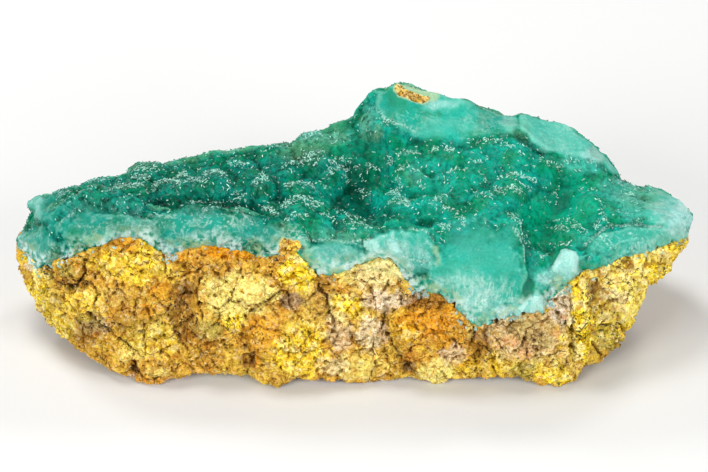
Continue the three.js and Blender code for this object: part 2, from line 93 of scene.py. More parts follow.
# Patches of colour in the front view: right, up, reach right, reach up, strength.
STAINED = {
    "pale": [
        (-15.3, -7.9, 5.3, 3.2, 1), (3.4, -4.7, 3.2, 2.2, 1), (-0.3, -5.2, 2.4, 1.9, 0.8),
        (11.2, -18, 2.8, 1.5, 1), (33.1, -14.1, 0.9, 1, 0.9), (-29.7, -15.5, 1.8, 1.6, 0.5),
        (0.4, -17.5, 3.8, 1.8, 0.6), (38, -2.6, 4, 1.5, 0.4), (15.6, -12.2, 0.7, 2, 0.7),
        (35, -7.5, 5, 4.5, 0.75), (2, -12.5, 2, 3, 0.3), (27, -17, 4, 1.6, 0.35), (-4.5, -9, 3, 3, 0.25),
        (-19.6, -12.5, 2, 1.6, 0.4), (-26, -18.2, 1.6, 1, 0.6), (-33, -8, 3, 1.5, 0.3),
    ],
    "yellow": [
        (30.1, -10.9, 1.6, 7.2, 1), (26.9, -18.5, 1.9, 1.6, 1), (-7.6, -4.8, 2.4, 2.5, 1),
        (-1.1, -9.6, 2.1, 2.3, 0.9), (-15.7, -11.3, 2, 1.1, 0.9), (36.8, -4.5, 6.2, 3.5, 0.95),
        (35, -10, 4, 5, 0.95), (36.4, -8, 4.5, 4, 0.95), (-41.9, -8.5, 1.7, 4.5, 0.8),
        (-38.9, -11.9, 1.8, 2.3, 0.7), (24, -17.5, 3.5, 1.6, 0.5), (18.5, -16.8, 2.5, 1.8, 0.4),
        (-29.9, -3.8, 5, 3, 0.6), (-27.2, -13.9, 4, 2.5, 0.45), (-7.2, -15.2, 3.8, 3.5, 0.75),
        (7.5, -12.5, 2, 1.4, 0.6), (27.9, -13.3, 0.5, 0.5, 1), (42.5, -1.5, 2.5, 2.5, 0.8),
        (-36, -9, 3, 2.5, 0.4), (-43.2, -2.9, 1.2, 0.7, 0.8), (14, -17.5, 2.5, 1.4, 0.4),
    ],
    "orange": [
        (-17.9, -2, 2.2, 1.2, 1), (-14.3, -2.4, 2, 0.9, 0.9), (-8.4, -1.3, 1.1, 0.9, 0.9),
        (-30.8, -1, 2.2, 1.4, 0.7), (21, -14, 1.3, 0.85, 1), (22.9, -15.9, 1, 0.85, 1),
        (26.8, -12.9, 0.95, 0.6, 1), (10.1, -10.9, 5.3, 3.2, 0.7), (-12.3, -12.5, 2.5, 2.4, 0.45),
        (-25.9, -7.2, 2, 1.3, 0.6), (-13.2, -16.3, 0.9, 0.7, 0.9), (-27.9, -10.1, 1.1, 1.4, 0.6),
        (14.1, -15.2, 3, 2, 0.45), (-23.6, -2.6, 1.6, 1.2, 0.5),
    ],
    "brown": [
        (-22.7, -9.9, 1.8, 4.5, 0.85), (10.1, -8.5, 3, 1.2, 0.8), (-4.1, -7.5, 1.3, 3, 0.45),
        (-14.1, -16.5, 1.2, 1, 0.9), (33.3, -8.5, 2.3, 2.6, 0.35), (7.2, -17.7, 1.2, 1.1, 0.9),
        (-37.2, -6.5, 2, 1.3, 0.7), (-35.5, -13.2, 2, 1.6, 0.6), (16.8, -14.5, 1.8, 2.3, 0.6),
        (-29.6, -17.9, 0.5, 1.2, 1), (-8.5, -8.5, 1.5, 1.2, 0.7), (-31.8, -0.8, 1.6, 0.8, 0.5),
        (-9, -1.4, 0.8, 0.8, 0.5), (32.2, -7.6, 1.2, 2.2, 0.9), (32.6, -4.6, 1.9, 0.7, 0.8),
        (36.7, -3.9, 0.7, 0.8, 0.9), (34, -11, 1.8, 0.9, 0.35), (40.2, -3.6, 2.2, 0.3, 0.6),
        (-30, -12, 2.8, 1.9, 0.45), (-21.5, -12.6, 1.6, 1.4, 0.5),
    ],
    "grey": [
        (4.3, -8.7, 3.3, 1.5, 0.8), (2.3, -13.1, 2.2, 2.4, 0.65), (34.6, -8, 2, 1.1, 0.6),
        (41, -2.4, 1.6, 0.8, 0.3), (22.8, -13.2, 6, 3.8, 0.42), (27.5, -9.2, 1.8, 2.8, 0.9),
        (13.3, -15.7, 1.8, 1.3, 0.6), (-8.4, -8.7, 1.4, 1.3, 0.7), (-1.9, -12.5, 1.8, 3, 0.5),
        (-43.1, -4, 0.8, 0.7, 0.8), (8.8, -7.6, 1.1, 0.8, 1), (-34.6, -12, 2.2, 1.2, 0.5),
        (-3, -17.2, 2, 1.2, 0.4), (3, -5.2, 3.2, 2, 0.3),
    ],
    "olive": [
        (-38.3, -4.5, 1.3, 1.1, 0.9), (-19.6, -12.5, 2, 1.6, 0.7), (22.7, -18, 1.7, 1.1, 0.9),
        (34.1, -13.6, 1.8, 1.5, 0.8), (-27.2, -12.5, 3, 2, 0.35), (-36, -11.6, 2.6, 1.6, 0.6),
        (-41, -5.5, 1.2, 1.6, 0.5), (24, -12.5, 3.5, 2.5, 0.45), (-40.4, -9.5, 2, 4, 0.4),
    ],
    # Clusters of black specks.
    "black": [
        (31.3, -7.6, 0.9, 1.4, 1), (30.2, -11.7, 1, 2.3, 1), (36.9, -7.2, 0.8, 1.6, 1),
        (33.5, -6.2, 1.3, 0.7, 1), (42.6, -1.4, 0.7, 0.6, 1), (41.3, -4.4, 0.6, 0.5, 1),
        (37.2, -4.6, 0.6, 0.8, 0.8), (33.4, -10, 1.8, 0.7, 0.9), (-23.6, -9.4, 1.6, 0.8, 1),
        (-22, -11.2, 1.4, 1, 0.7), (-36.8, -6.4, 1.6, 0.7, 0.7), (-34, -12.6, 2.4, 0.8, 0.6),
        (-38.4, -5.8, 1, 1.6, 0.9), (-41.2, -5, 0.5, 1.2, 0.8), (-16.6, -10.8, 1.2, 0.6, 0.6),
        (-29.5, -14.7, 2, 0.6, 0.6), (14, -14.4, 1, 0.6, 0.5), (24, -17.9, 2, 0.6, 0.6),
    ],
}


def shade(code):
    """The colour with this hex code, as shaders take it."""
    parts = [int(code[i:i + 2], 16) / 255 for i in (0, 2, 4)]
    return (*Color(parts).from_srgb_to_scene_linear(), 1)


def ease(low, high, value):
    """0 below low and 1 above high, with a soft step between them."""
    t = min(1, max(0, (value - low) / (high - low)))
    return t * t * (3 - 2 * t)


def surface_of(node):
    """A CAD node's surface, for finding how near a point is to it."""
    skin = bmesh.new()
    skin.from_mesh(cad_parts[node].data)
    tree = BVHTree.FromBMesh(skin)
    skin.free()
    return tree


def covered(place, normal, other):
    """Whether the other half of the stone lies on this one here, or round it."""
    if other.ray_cast(place, normal, 2.5 * MM)[3] is not None:
        return True
    way = other.ray_cast(place, Vector((0, 0, 1)), 8 * MM)[1]
    return way is not None and (normal.z > 0.3 or way.z > 0)


def new_object(name, data):
    piece = bpy.data.objects.new(name, data)
    bpy.context.scene.collection.objects.link(piece)
    return piece


def apply_modifiers(piece):
    bpy.context.view_layer.update()
    shaped = piece.evaluated_get(bpy.context.evaluated_depsgraph_get())
    piece.data = bpy.data.meshes.new_from_object(shaped)
    piece.modifiers.clear()


def even_skin(node, name, grain, smoothing, other, deeper):
    """A new piece in a CAD node's shape, with small faces of one size and no facets. Those that
    the other half covers are made larger and, in the stone's middle, moved out by deeper mm.
    """
    piece = new_object(name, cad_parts[node].data.copy())
    bm = bmesh.new()
    bm.from_mesh(piece.data)
    bmesh.ops.remove_doubles(bm, verts=bm.verts, dist=0.001 * MM)
    bm.normal_update()
    moves = [(v, v.normal * deeper * MM) for v in bm.verts if covered(v.co, v.normal, other)]
    for v, move in moves:
        v.co += move * ease(0.7, 0.45, math.hypot(v.co.x / (45 * MM), v.co.y / (18 * MM)))
    bm.to_mesh(piece.data)
    bm.free()
    remesh = piece.modifiers.new("Even skin", "REMESH")
    remesh.mode = "VOXEL"
    remesh.voxel_size = grain * MM
    apply_modifiers(piece)
    hidden = [v.index for v in piece.data.vertices if covered(v.co, v.normal, other)]
    piece.vertex_groups.new(name="hidden").add(hidden, 1, "REPLACE")
    thin = piece.modifiers.new("Large faces inside", "DECIMATE")
    thin.ratio = min(1, MOST_TRIANGLES / (2 * len(piece.data.polygons)))
    thin.vertex_group = "hidden"
    apply_modifiers(piece)
    piece.vertex_groups.clear()
    piece.data.materials.clear()
    bm = bmesh.new()
    bm.from_mesh(piece.data)
    smooth(bm, smoothing)
    bm.normal_update()
    return piece, bm


def smooth(bm, rounds):
    for _ in range(rounds):
        axes = {"use_axis_x": True, "use_axis_y": True, "use_axis_z": True}
        bmesh.ops.smooth_vert(bm, verts=bm.verts, factor=0.5, **axes)


def crests(bm, rounds):
    """How far each vertex stands out of its surroundings, in mm: below 0 in a hollow."""
    places = [v.co.copy() for v in bm.verts]
    bm.normal_update()
    normals = [v.normal.copy() for v in bm.verts]
    smooth(bm, rounds)
    heights = [(place - v.co).dot(n) / MM for place, v, n in zip(places, bm.verts, normals)]
    for v, place in zip(bm.verts, places):
        v.co = place
    return heights


def front_view(p):
    """Where p shows in the front view."""
    away = p - VIEW_MIDDLE
    scale = VIEW_DISTANCE / (VIEW_DISTANCE - away.dot(VIEW_BACK))
    return away.x * scale, away.dot(VIEW_UP) * scale


def faces_front(normal):
    """1 on what faces the front view, and 0 on what faces away from it."""
    return ease(-0.05, 0.2, normal.dot(VIEW_BACK))


def inside(spot, patches, ragged, core=0.75):
    """How strongly a spot of the front view is in the patches: fully in their core."""
    most = 0
    for right, up, along, across, strength in patches:
        away = math.hypot((spot[0] - right) / along, (spot[1] - up) / across) + ragged
        if away < 1.15:
            most = max(most, strength * ease(1.15, core, away))
    return most


def mounds(spot, patches):
    """The joint height of round swellings at a spot of the front view."""
    height = 0
    for right, up, along, across, rise in patches:
        away = math.hypot((spot[0] - right) / along, (spot[1] - up) / across)
        if away < 1:
            height += rise * ease(1, 0.35, away)
    return height


def beside(spot, lines, longest=20):
    """How strongly a spot of the front view is on the lines, 1 in their middle."""
    most = 0
    for width, strength, points in lines:
        if abs(spot[0] - points[0][0]) > longest:
            continue
        for (x0, y0), (x1, y1) in zip(points, points[1:]):
            dx, dy = x1 - x0, y1 - y0
            t = ((spot[0] - x0) * dx + (spot[1] - y0) * dy) / (dx * dx + dy * dy)
            t = min(1, max(0, t))
            away = math.hypot(spot[0] - x0 - t * dx, spot[1] - y0 - t * dy) / width
            if away < 1:
                most = max(most, strength * ease(1, 0.2, away))
    return most


def facets(p, size, slope):
    """Height at p, in mm, of flat breaks of this size that each tilt their own way."""
    centre = noise.voronoi(p / size)[1][0]
    return slope * size * noise.noise_vector(centre * 5.3).dot(p / size - centre)


def rubble(p):
    """Height of the broken limonite at p, in mm."""
    bent = p + 0.9 * noise.noise_vector(p * 0.45)
    near, far = noise.voronoi(bent / BLOCKS)[0][:2]
    block = 0.5 * (0.6 - near * near) - 0.45 * ease(0.13, 0, far - near)
    near, far = noise.voronoi(bent / CHUNKS)[0][:2]
    chunk = 0.1 * (0.5 - near * near) - 0.16 * ease(0.12, 0, far - near)
    near = noise.voronoi(bent / CRUMBS)[0][0]
    crumb = 0.16 * (0.4 - near) + 0.1 * noise.noise(p * 2.3)
    pit = 0.4 * ease(0.25, 0.5, noise.noise(p * 1.1))
    return block + chunk + crumb - pit + facets(bent, CHUNKS, 0.35) + facets(bent, CRUMBS, 0.32)


def finish_mesh(piece, bm, attributes):
    """Ends a piece's mesh and stores what its finish reads from each vertex."""
    bm.to_mesh(piece.data)
    bm.free()
    for name, values in attributes.items():
        piece.data.attributes.new(name, "FLOAT", "POINT").data.foreach_set("value", values)


# With a seed, the noise that bends the shapes is the same in every run.
noise.seed_set(NOISE_SEED)
under_crust = surface_of("hemimorphite_crust")
limonite, bm = even_skin(
    "limonite_matrix", "limonite", LIMONITE_GRAIN, smoothing=6, other=under_crust, deeper=0)
stains_and_shade = defaultdict(list)
lifted = []
for v in bm.verts:
    p, n = v.co / MM, v.normal
    front = faces_front(n)
    ragged = 0.34 * noise.noise(p * 0.55) + 0.3 * noise.noise(p * 1.7)
    spot = front_view(p + 0.35 * noise.noise_vector(p * 0.9))
    for order, (name, patches) in enumerate(STAINED.items()):
        cloudy = noise.noise(p * 0.16 + Vector((9 * order, 0, 5)))
        unseen = 0.8 * ease(0.16, 0.34, cloudy + 0.3 * ragged)
        seen = inside(spot, patches, ragged) if front > 0 else 0
        stains_and_shade[name].append(seen * front + unseen * (1 - front))
    # The cracks are sunk, and the finish paints shade into them.
    crack = beside(spot, CRACKS) * front if front > 0 else 0
    stains_and_shade["crack"].append(crack)
    height = rubble(p) - 0.7 * crack
    if front > 0:
        height += front * (mounds(spot, SWELLINGS) - mounds(spot, HOLLOWS))
    if covered(v.co, n, under_crust):
        height = min(height, -0.4 * ease(0.75, 0.5, math.hypot(p.x / 45, p.y / 18)))
    raised = p + n * height * (0.5 if n.z < -0.7 else 1)
    raised.z = max(raised.z, 0.02)
    lifted.append(raised * MM)
for v, place in zip(bm.verts, lifted):
    v.co = place
# How far each vertex stands out: the finish paints shade into the hollows.
stains_and_shade["crest"] = crests(bm, rounds=14)
finish_mesh(limonite, bm, stains_and_shade)


class Socket:
    """An output of a shader node. A sum or product of outputs adds its Math nodes."""

    def __init__(self, finish, socket):
        self.finish = finish
        self.socket = socket

    def maths(self, operation, *values):
        return self.finish.node("Math", {"operation": operation}, dict(enumerate(values)))

    def __add__(self, other):
        return self.maths("ADD", self, other)

    def __sub__(self, other):
        return self.maths("SUBTRACT", self, other)

    def __rsub__(self, other):
        return self.maths("SUBTRACT", other, self)

    def __mul__(self, other):
        return self.maths("MULTIPLY", self, other)

    def __abs__(self):
        return self.maths("ABSOLUTE", self)

    __radd__ = __add__
    __rmul__ = __mul__

    def ease(self, low, high):
        """0 at low and 1 at high, with a soft step between them."""
        settings = {"interpolation_type": "SMOOTHSTEP"}
        return self.finish.node("MapRange", settings, {0: self, 1: low, 2: high})


class Finish:
    """A procedural material on a Principled shader."""

    def __init__(self, name, constants):
        self.material = bpy.data.materials.new(name)
        self.material.use_nodes = True
        self.tree = self.material.node_tree
        self.shader = self.tree.nodes["Principled BSDF"]
        for key, value in constants.items():
            self.shader.inputs[key].default_value = value
        self.place = self.node("TexCoord", output="Object")
        self.colour = (1, 1, 1, 1)

    def node(self, kind, settings=None, inputs=None, output=0):
        """Adds a node with these settings, input values or links, and gives one output."""
        node = self.tree.nodes.new("ShaderNode" + kind)
        for key, value in (settings or {}).items():
            setattr(node, key, value)
        for key, value in (inputs or {}).items():
            self.feed(node.inputs[key], value)
        return Socket(self, node.outputs[output])

    def feed(self, socket, value):
        if isinstance(value, Socket):
            self.tree.links.new(value.socket, socket)
        else:
            socket.default_value = value

    def give(self, **channels):
        """Links outputs to the shader: base_color=... feeds Base Color."""
        for key, value in channels.items():
            self.feed(self.shader.inputs[key.replace("_", " ").title()], value)

    def noise(self, size, detail, place=None, output="Fac"):
        """Smooth noise with features of this size in mm, about 0 to 1."""
        inputs = {"Vector": place or self.place, "Scale": 1 / (size * MM), "Detail": detail}
        return self.node("TexNoise", None, inputs, output)

    def cells(self, size, feature="F1", output="Distance", place=None):
        inputs = {"Vector": place or self.place, "Scale": 1 / (size * MM)}
        return self.node("TexVoronoi", {"feature": feature}, inputs, output)

    def part(self, colour, index):
        """The red, green or blue of a colour, as index 0, 1 or 2."""
        return self.node("SeparateColor", None, {0: colour}, index)

    def mask(self, name):
        return self.node("Attribute", {"attribute_name": name}, None, "Fac")

    def blend(self, first, second, factor, kind="MIX"):
        settings = {"data_type": "RGBA", "blend_type": kind}
        return self.node("Mix", settings, {0: factor, 6: first, 7: second}, 2)

    def paint(self, colour, amount):
        """Lays a colour, or a hex code's, over the piece's colour, this strongly."""
        colour = colour if isinstance(colour, Socket) else shade(colour)
        self.colour = self.blend(self.colour, colour, amount)

    def tint(self, red, green, blue, amount):
        """Multiplies the piece's colour by these, this strongly."""
        self.colour = self.blend(self.colour, (red, green, blue, 1), amount, "MULTIPLY")

    def vector(self, operation, *values):
        return self.node("VectorMath", {"operation": operation}, dict(enumerate(values)))

    def scaled(self, vector, factor):
        return self.node("VectorMath", {"operation": "SCALE"}, {0: vector, 3: factor})

    def bent(self, size, amount):
        """The place on the piece, shifted by noise of this size, by this much in mm."""
        shift = self.vector("SUBTRACT", self.noise(size, 2, output="Color"), (0.5, 0.5, 0.5))
        return self.vector("ADD", self.place, self.scaled(shift, 2 * amount * MM))

    def bump(self, height, depth):
        """A bump this deep, in mm, from a height of 0 to 1."""
        return self.node("Bump", None, {"Height": height, "Distance": depth * MM}, "Normal")


ore = Finish("Limonite", {"Roughness": 0.9, "Specular IOR Level": 0.08})
cloud = ore.noise(6, 3)
other_cloud = ore.noise(3.4, 3, ore.vector("ADD", ore.place, (0.3, 0.2, 0.1)))
dust = ore.noise(0.26, 3)
ragged_dust = ore.noise(0.6, 4)
ore.colour = ore.blend(shade("d9ab44"), shade("e5c250"), cloud.ease(0.35, 0.65))
ore.paint("c88a34", other_cloud.ease(0.54, 0.7) * 0.65)
ore.paint("ebca48", other_cloud.ease(0.46, 0.3) * 0.7)
for stain, code in (
    ("yellow", "ffe73c"), ("pale", "f8ea88"), ("orange", "f0a61e"),
    ("grey", "ebe1ca"), ("olive", "b8a850"), ("brown", "9a6e32"),
):
    ore.paint(code, ore.mask(stain) * ragged_dust.ease(0.22, 0.5))
# The yellow is powdery, from cream to rusty.
powder = ore.noise(1.2, 4)
ore.tint(1.1, 1.12, 0.95, ore.mask("yellow"))
ore.paint("fff2a4", powder.ease(0.5, 0.6) * ore.mask("yellow") * 0.9)
ore.tint(0.62, 0.47, 0.2, powder.ease(0.44, 0.34) * ore.mask("yellow"))
# Crumbs of every size down to dust, each a little lighter or darker than the next. The pale
# and orange patches are more even.
uneven = 1 - 0.4 * ore.mask("pale").ease(0.1, 0.9)
calm = 1 - 0.6 * ore.mask("orange")
for size, strength in ((0.65, 0.55), (0.34, 0.75)):
    crumb = ore.cells(size, output="Color", place=ore.bent(size, 0.3 * size))
    light, dark, kind = (ore.part(crumb, index) for index in range(3))
    ore.tint(1.32, 1.3, 1.4, light.ease(0.56, 0.86) * strength * calm)
    ore.tint(0.55, 0.46, 0.27, dark.ease(0.66, 0.95) * strength * uneven)
    ore.paint("f7eec4", kind.ease(0.9, 0.96) * strength * 0.4 * calm)
    ore.paint("c5701c", kind.ease(0.12, 0.06) * strength * 0.5)
ore.tint(0.6, 0.5, 0.3, dust.ease(0.45, 0.3) * uneven)
ore.tint(1.2, 1.2, 1.25, dust.ease(0.55, 0.7))
# Painted shade in the cracks and in the pits, the mesh's hollows, and black specks in loose clusters.
ore.tint(0.25, 0.17, 0.1, ore.mask("crack") * ragged_dust.ease(0.25, 0.5) * 0.9)
ore.tint(0.3, 0.22, 0.1, ore.mask("crest").ease(-0.05, -0.3) * 0.85)
split = ore.cells(2.4, "DISTANCE_TO_EDGE", place=ore.bent(1.6, 0.9)).ease(0.045, 0.0)
ore.tint(0.2, 0.14, 0.09, split * other_cloud.ease(0.44, 0.54) * 0.8)
clustered = 0.6 * ore.noise(3.6, 2).ease(0.52, 0.66) + ore.mask("black")
specks = (ore.noise(0.42, 3) + 0.06 * clustered).ease(0.61, 0.66) * clustered.ease(0.0, 0.7)
ore.paint("2e2a1c", specks * 0.9)
ore.give(
    base_color=ore.colour,
    normal=ore.bump(0.7 * dust + ragged_dust + 0.3 * dark, 0.32),
)
limonite.data.materials.append(ore.material)
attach(limonite, "root")
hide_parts("limonite_matrix")

# The hemimorphite crust. It grew as bubbly lumps of translucent blue-green crystal with a
# druse of tiny crystals on top. Where it broke, along the front, at the peak and behind, it is
# smooth, milky and paler.
CRUST_GRAIN = 0.25
# Places of the crust in the front view, by kind. For each kind, how much of a patch is its core,
# and for each patch: right, up, reach right, reach up, strength.
PLACES = {
    # Milky breaks and thin places.
    "milky": (0.3, [
        (12.5, 14.6, 6.5, 2, 0.5), (12, 17.6, 3.6, 1.4, 0.7), (20.6, 15.2, 2, 1.6, 0.65),
        (36, 5.8, 3.4, 1.8, 0.5), (32, 11, 3, 2, 0.85), (42.4, 3.2, 4.4, 4.8, 0.7),
        (30.2, 9.7, 4.6, 1.7, 0.42), (34.5, 6.8, 3.2, 1.6, 0.38), (38.1, -0.2, 6, 2.4, 0.4),
        (33, -0.6, 3.6, 2, 0.35), (16.8, -4, 8, 6.8, 0.42), (16.6, -8.7, 6, 4.2, 0.72),
        (5.9, -1.8, 5.6, 3.6, 0.7), (15.6, -6.2, 7.6, 2.8, 0.6), (8.8, -3.4, 3.2, 2.6, 0.65),
        (43.6, 2.6, 3, 4.5, 1), (37.2, 4, 2.8, 2.8, 0.4), (5.6, -2, 1.6, 1.9, 0.9),
        (-2.5, -2.6, 5.2, 2.4, 0.65), (26.3, -5.6, 2.6, 1.8, 0.8), (19.9, -10, 2.4, 1.3, 0.9),
        (-41.9, 3.9, 2.6, 2.4, 0.4), (-42.7, -1.4, 3, 2.6, 0.45), (-32.5, 0.9, 10, 3, 0.22),
        (-20.5, 1.3, 9.5, 3, 0.22), (-11.2, 0.3, 2.6, 1.6, 0.35), (-8.8, -1.2, 2, 1.6, 0.35),
        (-35.2, 4.2, 6, 1.6, 0.25), (-4.8, 13.2, 5, 1.5, 0.3), (-24.6, -1.8, 2, 1.6, 0.95),
        (2.2, 16.4, 1.6, 2.4, 0.35),
    ]),
    # Smooth places that the druse leaves free.
    "bare": (0.7, [
        (16.6, -4.8, 6.8, 6.2, 1), (5.9, -1.9, 5.2, 3, 1), (-2.5, -2.5, 4.8, 2.2, 1),
        (-32.5, 0.8, 9, 2.5, 1), (-20.5, 1.1, 8.4, 2.5, 1), (-9.5, -0.4, 3.4, 1.8, 1),
        (-41.9, 3.9, 2.6, 2.2, 1), (-43, -1, 3, 2.4, 0.8), (41.7, 3, 4, 4.6, 0.8),
        (38.1, -0.4, 5.6, 2, 1), (28.4, -3.7, 2.2, 2.4, 1), (23.3, -8.3, 3, 2, 1), (28.5, 4, 3, 2.6, 0.5),
    ]),
    # Duller and darker ones.
    "dull": (0.4, [
        (-31, 5, 15, 10, 1), (-14, 7, 15, 9, 0.8), (-42, 0, 6, 8, 1), (-22, -1, 14, 4, 0.9),
        (19, 15.5, 3.2, 2.2, 0.6), (4, 17.5, 2.6, 2.6, 0.5), (1, 15.8, 2.2, 3.6, 0.9),
        (32.5, 11, 2.4, 2.4, 0.4), (8, -3, 3, 3, 0.4), (-1.5, -1.6, 5, 2.2, 0.6), (16, 0, 5, 2.6, 0.5),
        (8, -5, 2, 1.2, 1), (-2.5, -0.6, 2, 0.8, 0.6), (0.5, 12, 4, 2, 0.6), (-11, 0.5, 4, 2.5, 1),
    ]),
    # Brighter, bluer ones.
    "blue": (0.3, [
        (16.1, 7.6, 1.6, 1, 1), (13.5, 6.2, 2.4, 1.4, 0.6), (18.8, 9.2, 2.6, 1.6, 0.7),
        (23.9, -3.7, 0.7, 1.8, 0.9), (2.9, 4.3, 1.2, 2, 0.9), (-0.8, 13.6, 0.5, 1.1, 0.9),
        (-1.7, 2.6, 0.9, 0.6, 0.9), (10.5, 3.4, 2.4, 1.4, 0.6), (14.8, 16.2, 2.6, 1.3, 0.6),
        (7.6, 15.9, 2, 1.1, 0.5), (10, 9.8, 2.6, 1.2, 0.4), (20.6, 4, 2, 1.2, 0.5),
        (22.6, 12.2, 2, 1.2, 0.4), (-6.2, 4.8, 1.1, 0.6, 0.9), (-5.3, 6.4, 0.6, 0.5, 0.9),
        (18.5, 8.5, 5, 3, 0.35), (-17.5, 5.3, 2.4, 0.8, 0.5), (-24, 5.6, 2, 0.7, 0.5),
        (-12, 4.8, 2, 0.8, 0.5), (36, -1.4, 3, 1.4, 0.5),
    ]),
    # Weathered, greyish ones.
    "weathered_and_rim_light": (0.4, [
        (-7, 11.8, 4.2, 2.4, 1), (-3.2, 13.2, 3, 1.8, 1), (1.4, 15.2, 1.3, 2.8, 0.8),
        (3.1, 13.9, 0.9, 1.5, 1), (8, 8.2, 1.6, 1.6, 0.5), (33, 11.5, 2, 2, 0.6),
        (22, 14.5, 2.4, 1.6, 0.5), (38.5, 5.6, 4, 2.2, 0.7), (-2.5, -0.2, 4, 1, 0.6),
        (-9.6, 1.2, 1.6, 0.9, 0.6),
    ]),
    # Smooth, clear emerald ones.
    "clear": (0.3, [
        (29.8, 7, 3.4, 1.8, 0.7), (1.5, 11.8, 4, 2, 0.7), (34, 3.8, 2, 1.8, 0.8),
        (24.5, 2.8, 3.2, 2.8, 1), (30.8, 4.1, 3, 2.2, 0.9), (26.2, -0.4, 2.6, 2, 1),
        (27, 9.6, 4.5, 2, 0.5), (28.6, 1.6, 3.4, 2.4, 0.9), (22, 9.6, 3, 2, 0.25),
        (23.3, -4.4, 1.2, 3.4, 0.8), (10, 6, 2.6, 1.8, 0.4), (20, 6.4, 3.6, 1.6, 0.2),
        (32, -0.2, 3, 1.6, 0.6), (-29.4, 6.3, 3.8, 1.3, 0.35), (-20, 4.2, 5, 0.9, 0.4),
    ]),
    # Deep green ones, where the crust is thick, with painted shade in the valley, the hollows and the
    # grooves.
    "deep_and_shade": (0.4, [
        (0.3, 6, 2.2, 4.6, 1), (-1.2, 4.3, 2, 1.3, 1), (4.1, 2.8, 3, 1.1, 0.8),
        (1.6, 12.2, 3.4, 2.4, 0.5), (27.1, 0.4, 2.4, 1.2, 0.3), (40.3, 4, 0.75, 0.4, 1.3),
        (36.4, 2.8, 0.5, 0.35, 1.1), (15.8, 8.4, 0.5, 0.4, 0.9), (19.2, 5.8, 0.5, 0.4, 0.9),
        (-21, 6.5, 11, 3.6, 0.5), (-8, 9, 8, 3, 0.3), (0.4, 2.7, 4.6, 1.5, 0.9), (-20, 3.4, 5, 0.9, 0.6),
        (-13, 3, 4, 1, 0.5), (4.1, -1.3, 0.5, 0.9, 0.9), (8.6, -1.9, 2.4, 1.7, 0.3),
        (-1.2, -1.2, 0.5, 0.9, 0.5),
    ]),
    # Breaks that are full of white wisps.
    "wispy": (0.4, [
        (-31, 1.2, 9, 3, 0.8), (-20, 1.2, 8.5, 3, 1), (-42.5, -1.5, 3.5, 3, 1), (-9, -0.4, 4, 2.2, 1),
        (4.5, -2.4, 6.5, 3.6, 0.9), (-4, -2.6, 4, 2, 0.6), (16.5, -8.4, 6, 4, 1), (37, -0.8, 5, 2, 0.6),
        (28, 13, 6, 3, 0.3), (7, 15.4, 4, 1.6, 0.5), (18, 15.4, 4, 2.4, 0.4), (41, 2, 4, 4, 0.6),
        (22, -9.8, 3, 1.2, 0.7),
    ]),
}
# The smooth fracture walls behind: how milky each is, how soft its edge is in mm, and its
# corners in the front view.
WALLS = [
    (0.2, 0.9, [(2.4, 19), (5.5, 20.6), (11.6, 19.3), (16.2, 18.3), (18.9, 16.8), (21.7, 16.3),
        (22.3, 14.4), (21.2, 13.7), (18.9, 13.6), (16.5, 13.1), (14.4, 12.7), (12.4, 12.4), (9.8, 12.8),
        (7.6, 13.6), (5.8, 14.3), (4.3, 15.4), (2.9, 17)]),
    (0.54, 0.35, [(21.7, 16.5), (24, 16.8), (27.9, 15.7), (30.9, 14), (33, 12.1), (35.2, 10.3),
        (35.4, 8.2), (34.1, 8.7), (33.1, 9.9), (31.6, 10.5), (30.4, 10.1), (29.1, 10.4), (27.5, 10.7),
        (25.7, 11.4), (24.3, 12.3), (23.3, 13.6), (22.2, 14.4)]),
]
# The tops of the crust's lumps: right, up, reach right, reach up.
LUMP_TOPS = [
    (-38.5, 5.3, 0.8, 0.4), (-34.7, 7.1, 1.2, 0.4), (-30.4, 6.3, 1.4, 0.4), (-27.6, 8.9, 1.5, 0.4),
    (-28.6, 7.4, 0.8, 0.5), (-25.1, 7, 1.4, 0.4), (-22.8, 7.9, 1, 0.5), (-20.8, 7.1, 1.1, 0.7),
    (-18.7, 8.3, 1.2, 0.5), (-17.1, 7.3, 0.4, 0.7), (-15.3, 9.5, 1.2, 0.4), (-18.1, 6.5, 0.7, 0.4),
    (-15.4, 6.1, 0.6, 0.9), (-12.2, 7.1, 0.8, 0.8), (-8.5, 8.9, 1, 0.8), (-7.2, 6.7, 1.4, 0.5),
    (-4.3, 6.5, 0.7, 0.5), (-2.5, 8.5, 1.2, 0.7), (-7.6, 4.2, 1.5, 0.5), (-11.1, 3, 1.1, 0.8),
    (-7.5, 2.4, 1.4, 0.3), (-19.8, 4.5, 2.1, 0.35), (-4.2, 2.1, 0.8, 0.5), (1.1, 5.3, 1, 0.8),
    (-5.7, 13, 1.4, 0.6), (-5.1, 10.7, 1.1, 0.5), (-10.4, 11.4, 1.2, 0.5), (-1.6, 11.6, 0.8, 0.6),
    (7, 8.9, 1.3, 0.6), (7.3, 10.9, 0.9, 0.5), (11.6, 11.5, 1.9, 0.7), (9, 6.9, 0.5, 0.7),
    (13, 7.5, 1.4, 1), (21.7, 7.7, 2.1, 0.5), (20.3, 6.2, 1.1, 0.7), (21.6, 10.9, 1.1, 0.7),
    (16.8, 9.6, 1, 0.5), (25.9, 9.3, 1.1, 1.2), (28.7, 9.9, 1.3, 0.5), (31.1, 6.3, 1.1, 0.4),
    (25.5, 4.6, 0.5, 0.6), (11.5, 4.5, 1.1, 0.5), (5.8, 4.3, 1.5, 0.9), (13.5, 2.4, 1.9, 1.2),
    (14, 0.9, 0.9, 0.4), (21.4, 2.1, 0.9, 0.9), (29, 1.7, 2, 1.1), (27.7, -1.4, 1.4, 0.5),
    (25.7, -3, 0.9, 0.4), (32.7, 3.9, 0.6, 1.5), (40, 1.1, 3.8, 0.4), (33.3, -1, 0.9, 0.9),
    (5.9, 15, 2.2, 1), (0.6, 8.7, 0.6, 0.7), (0, 2, 1.2, 0.8), (17.4, 5.4, 1, 0.5),
]
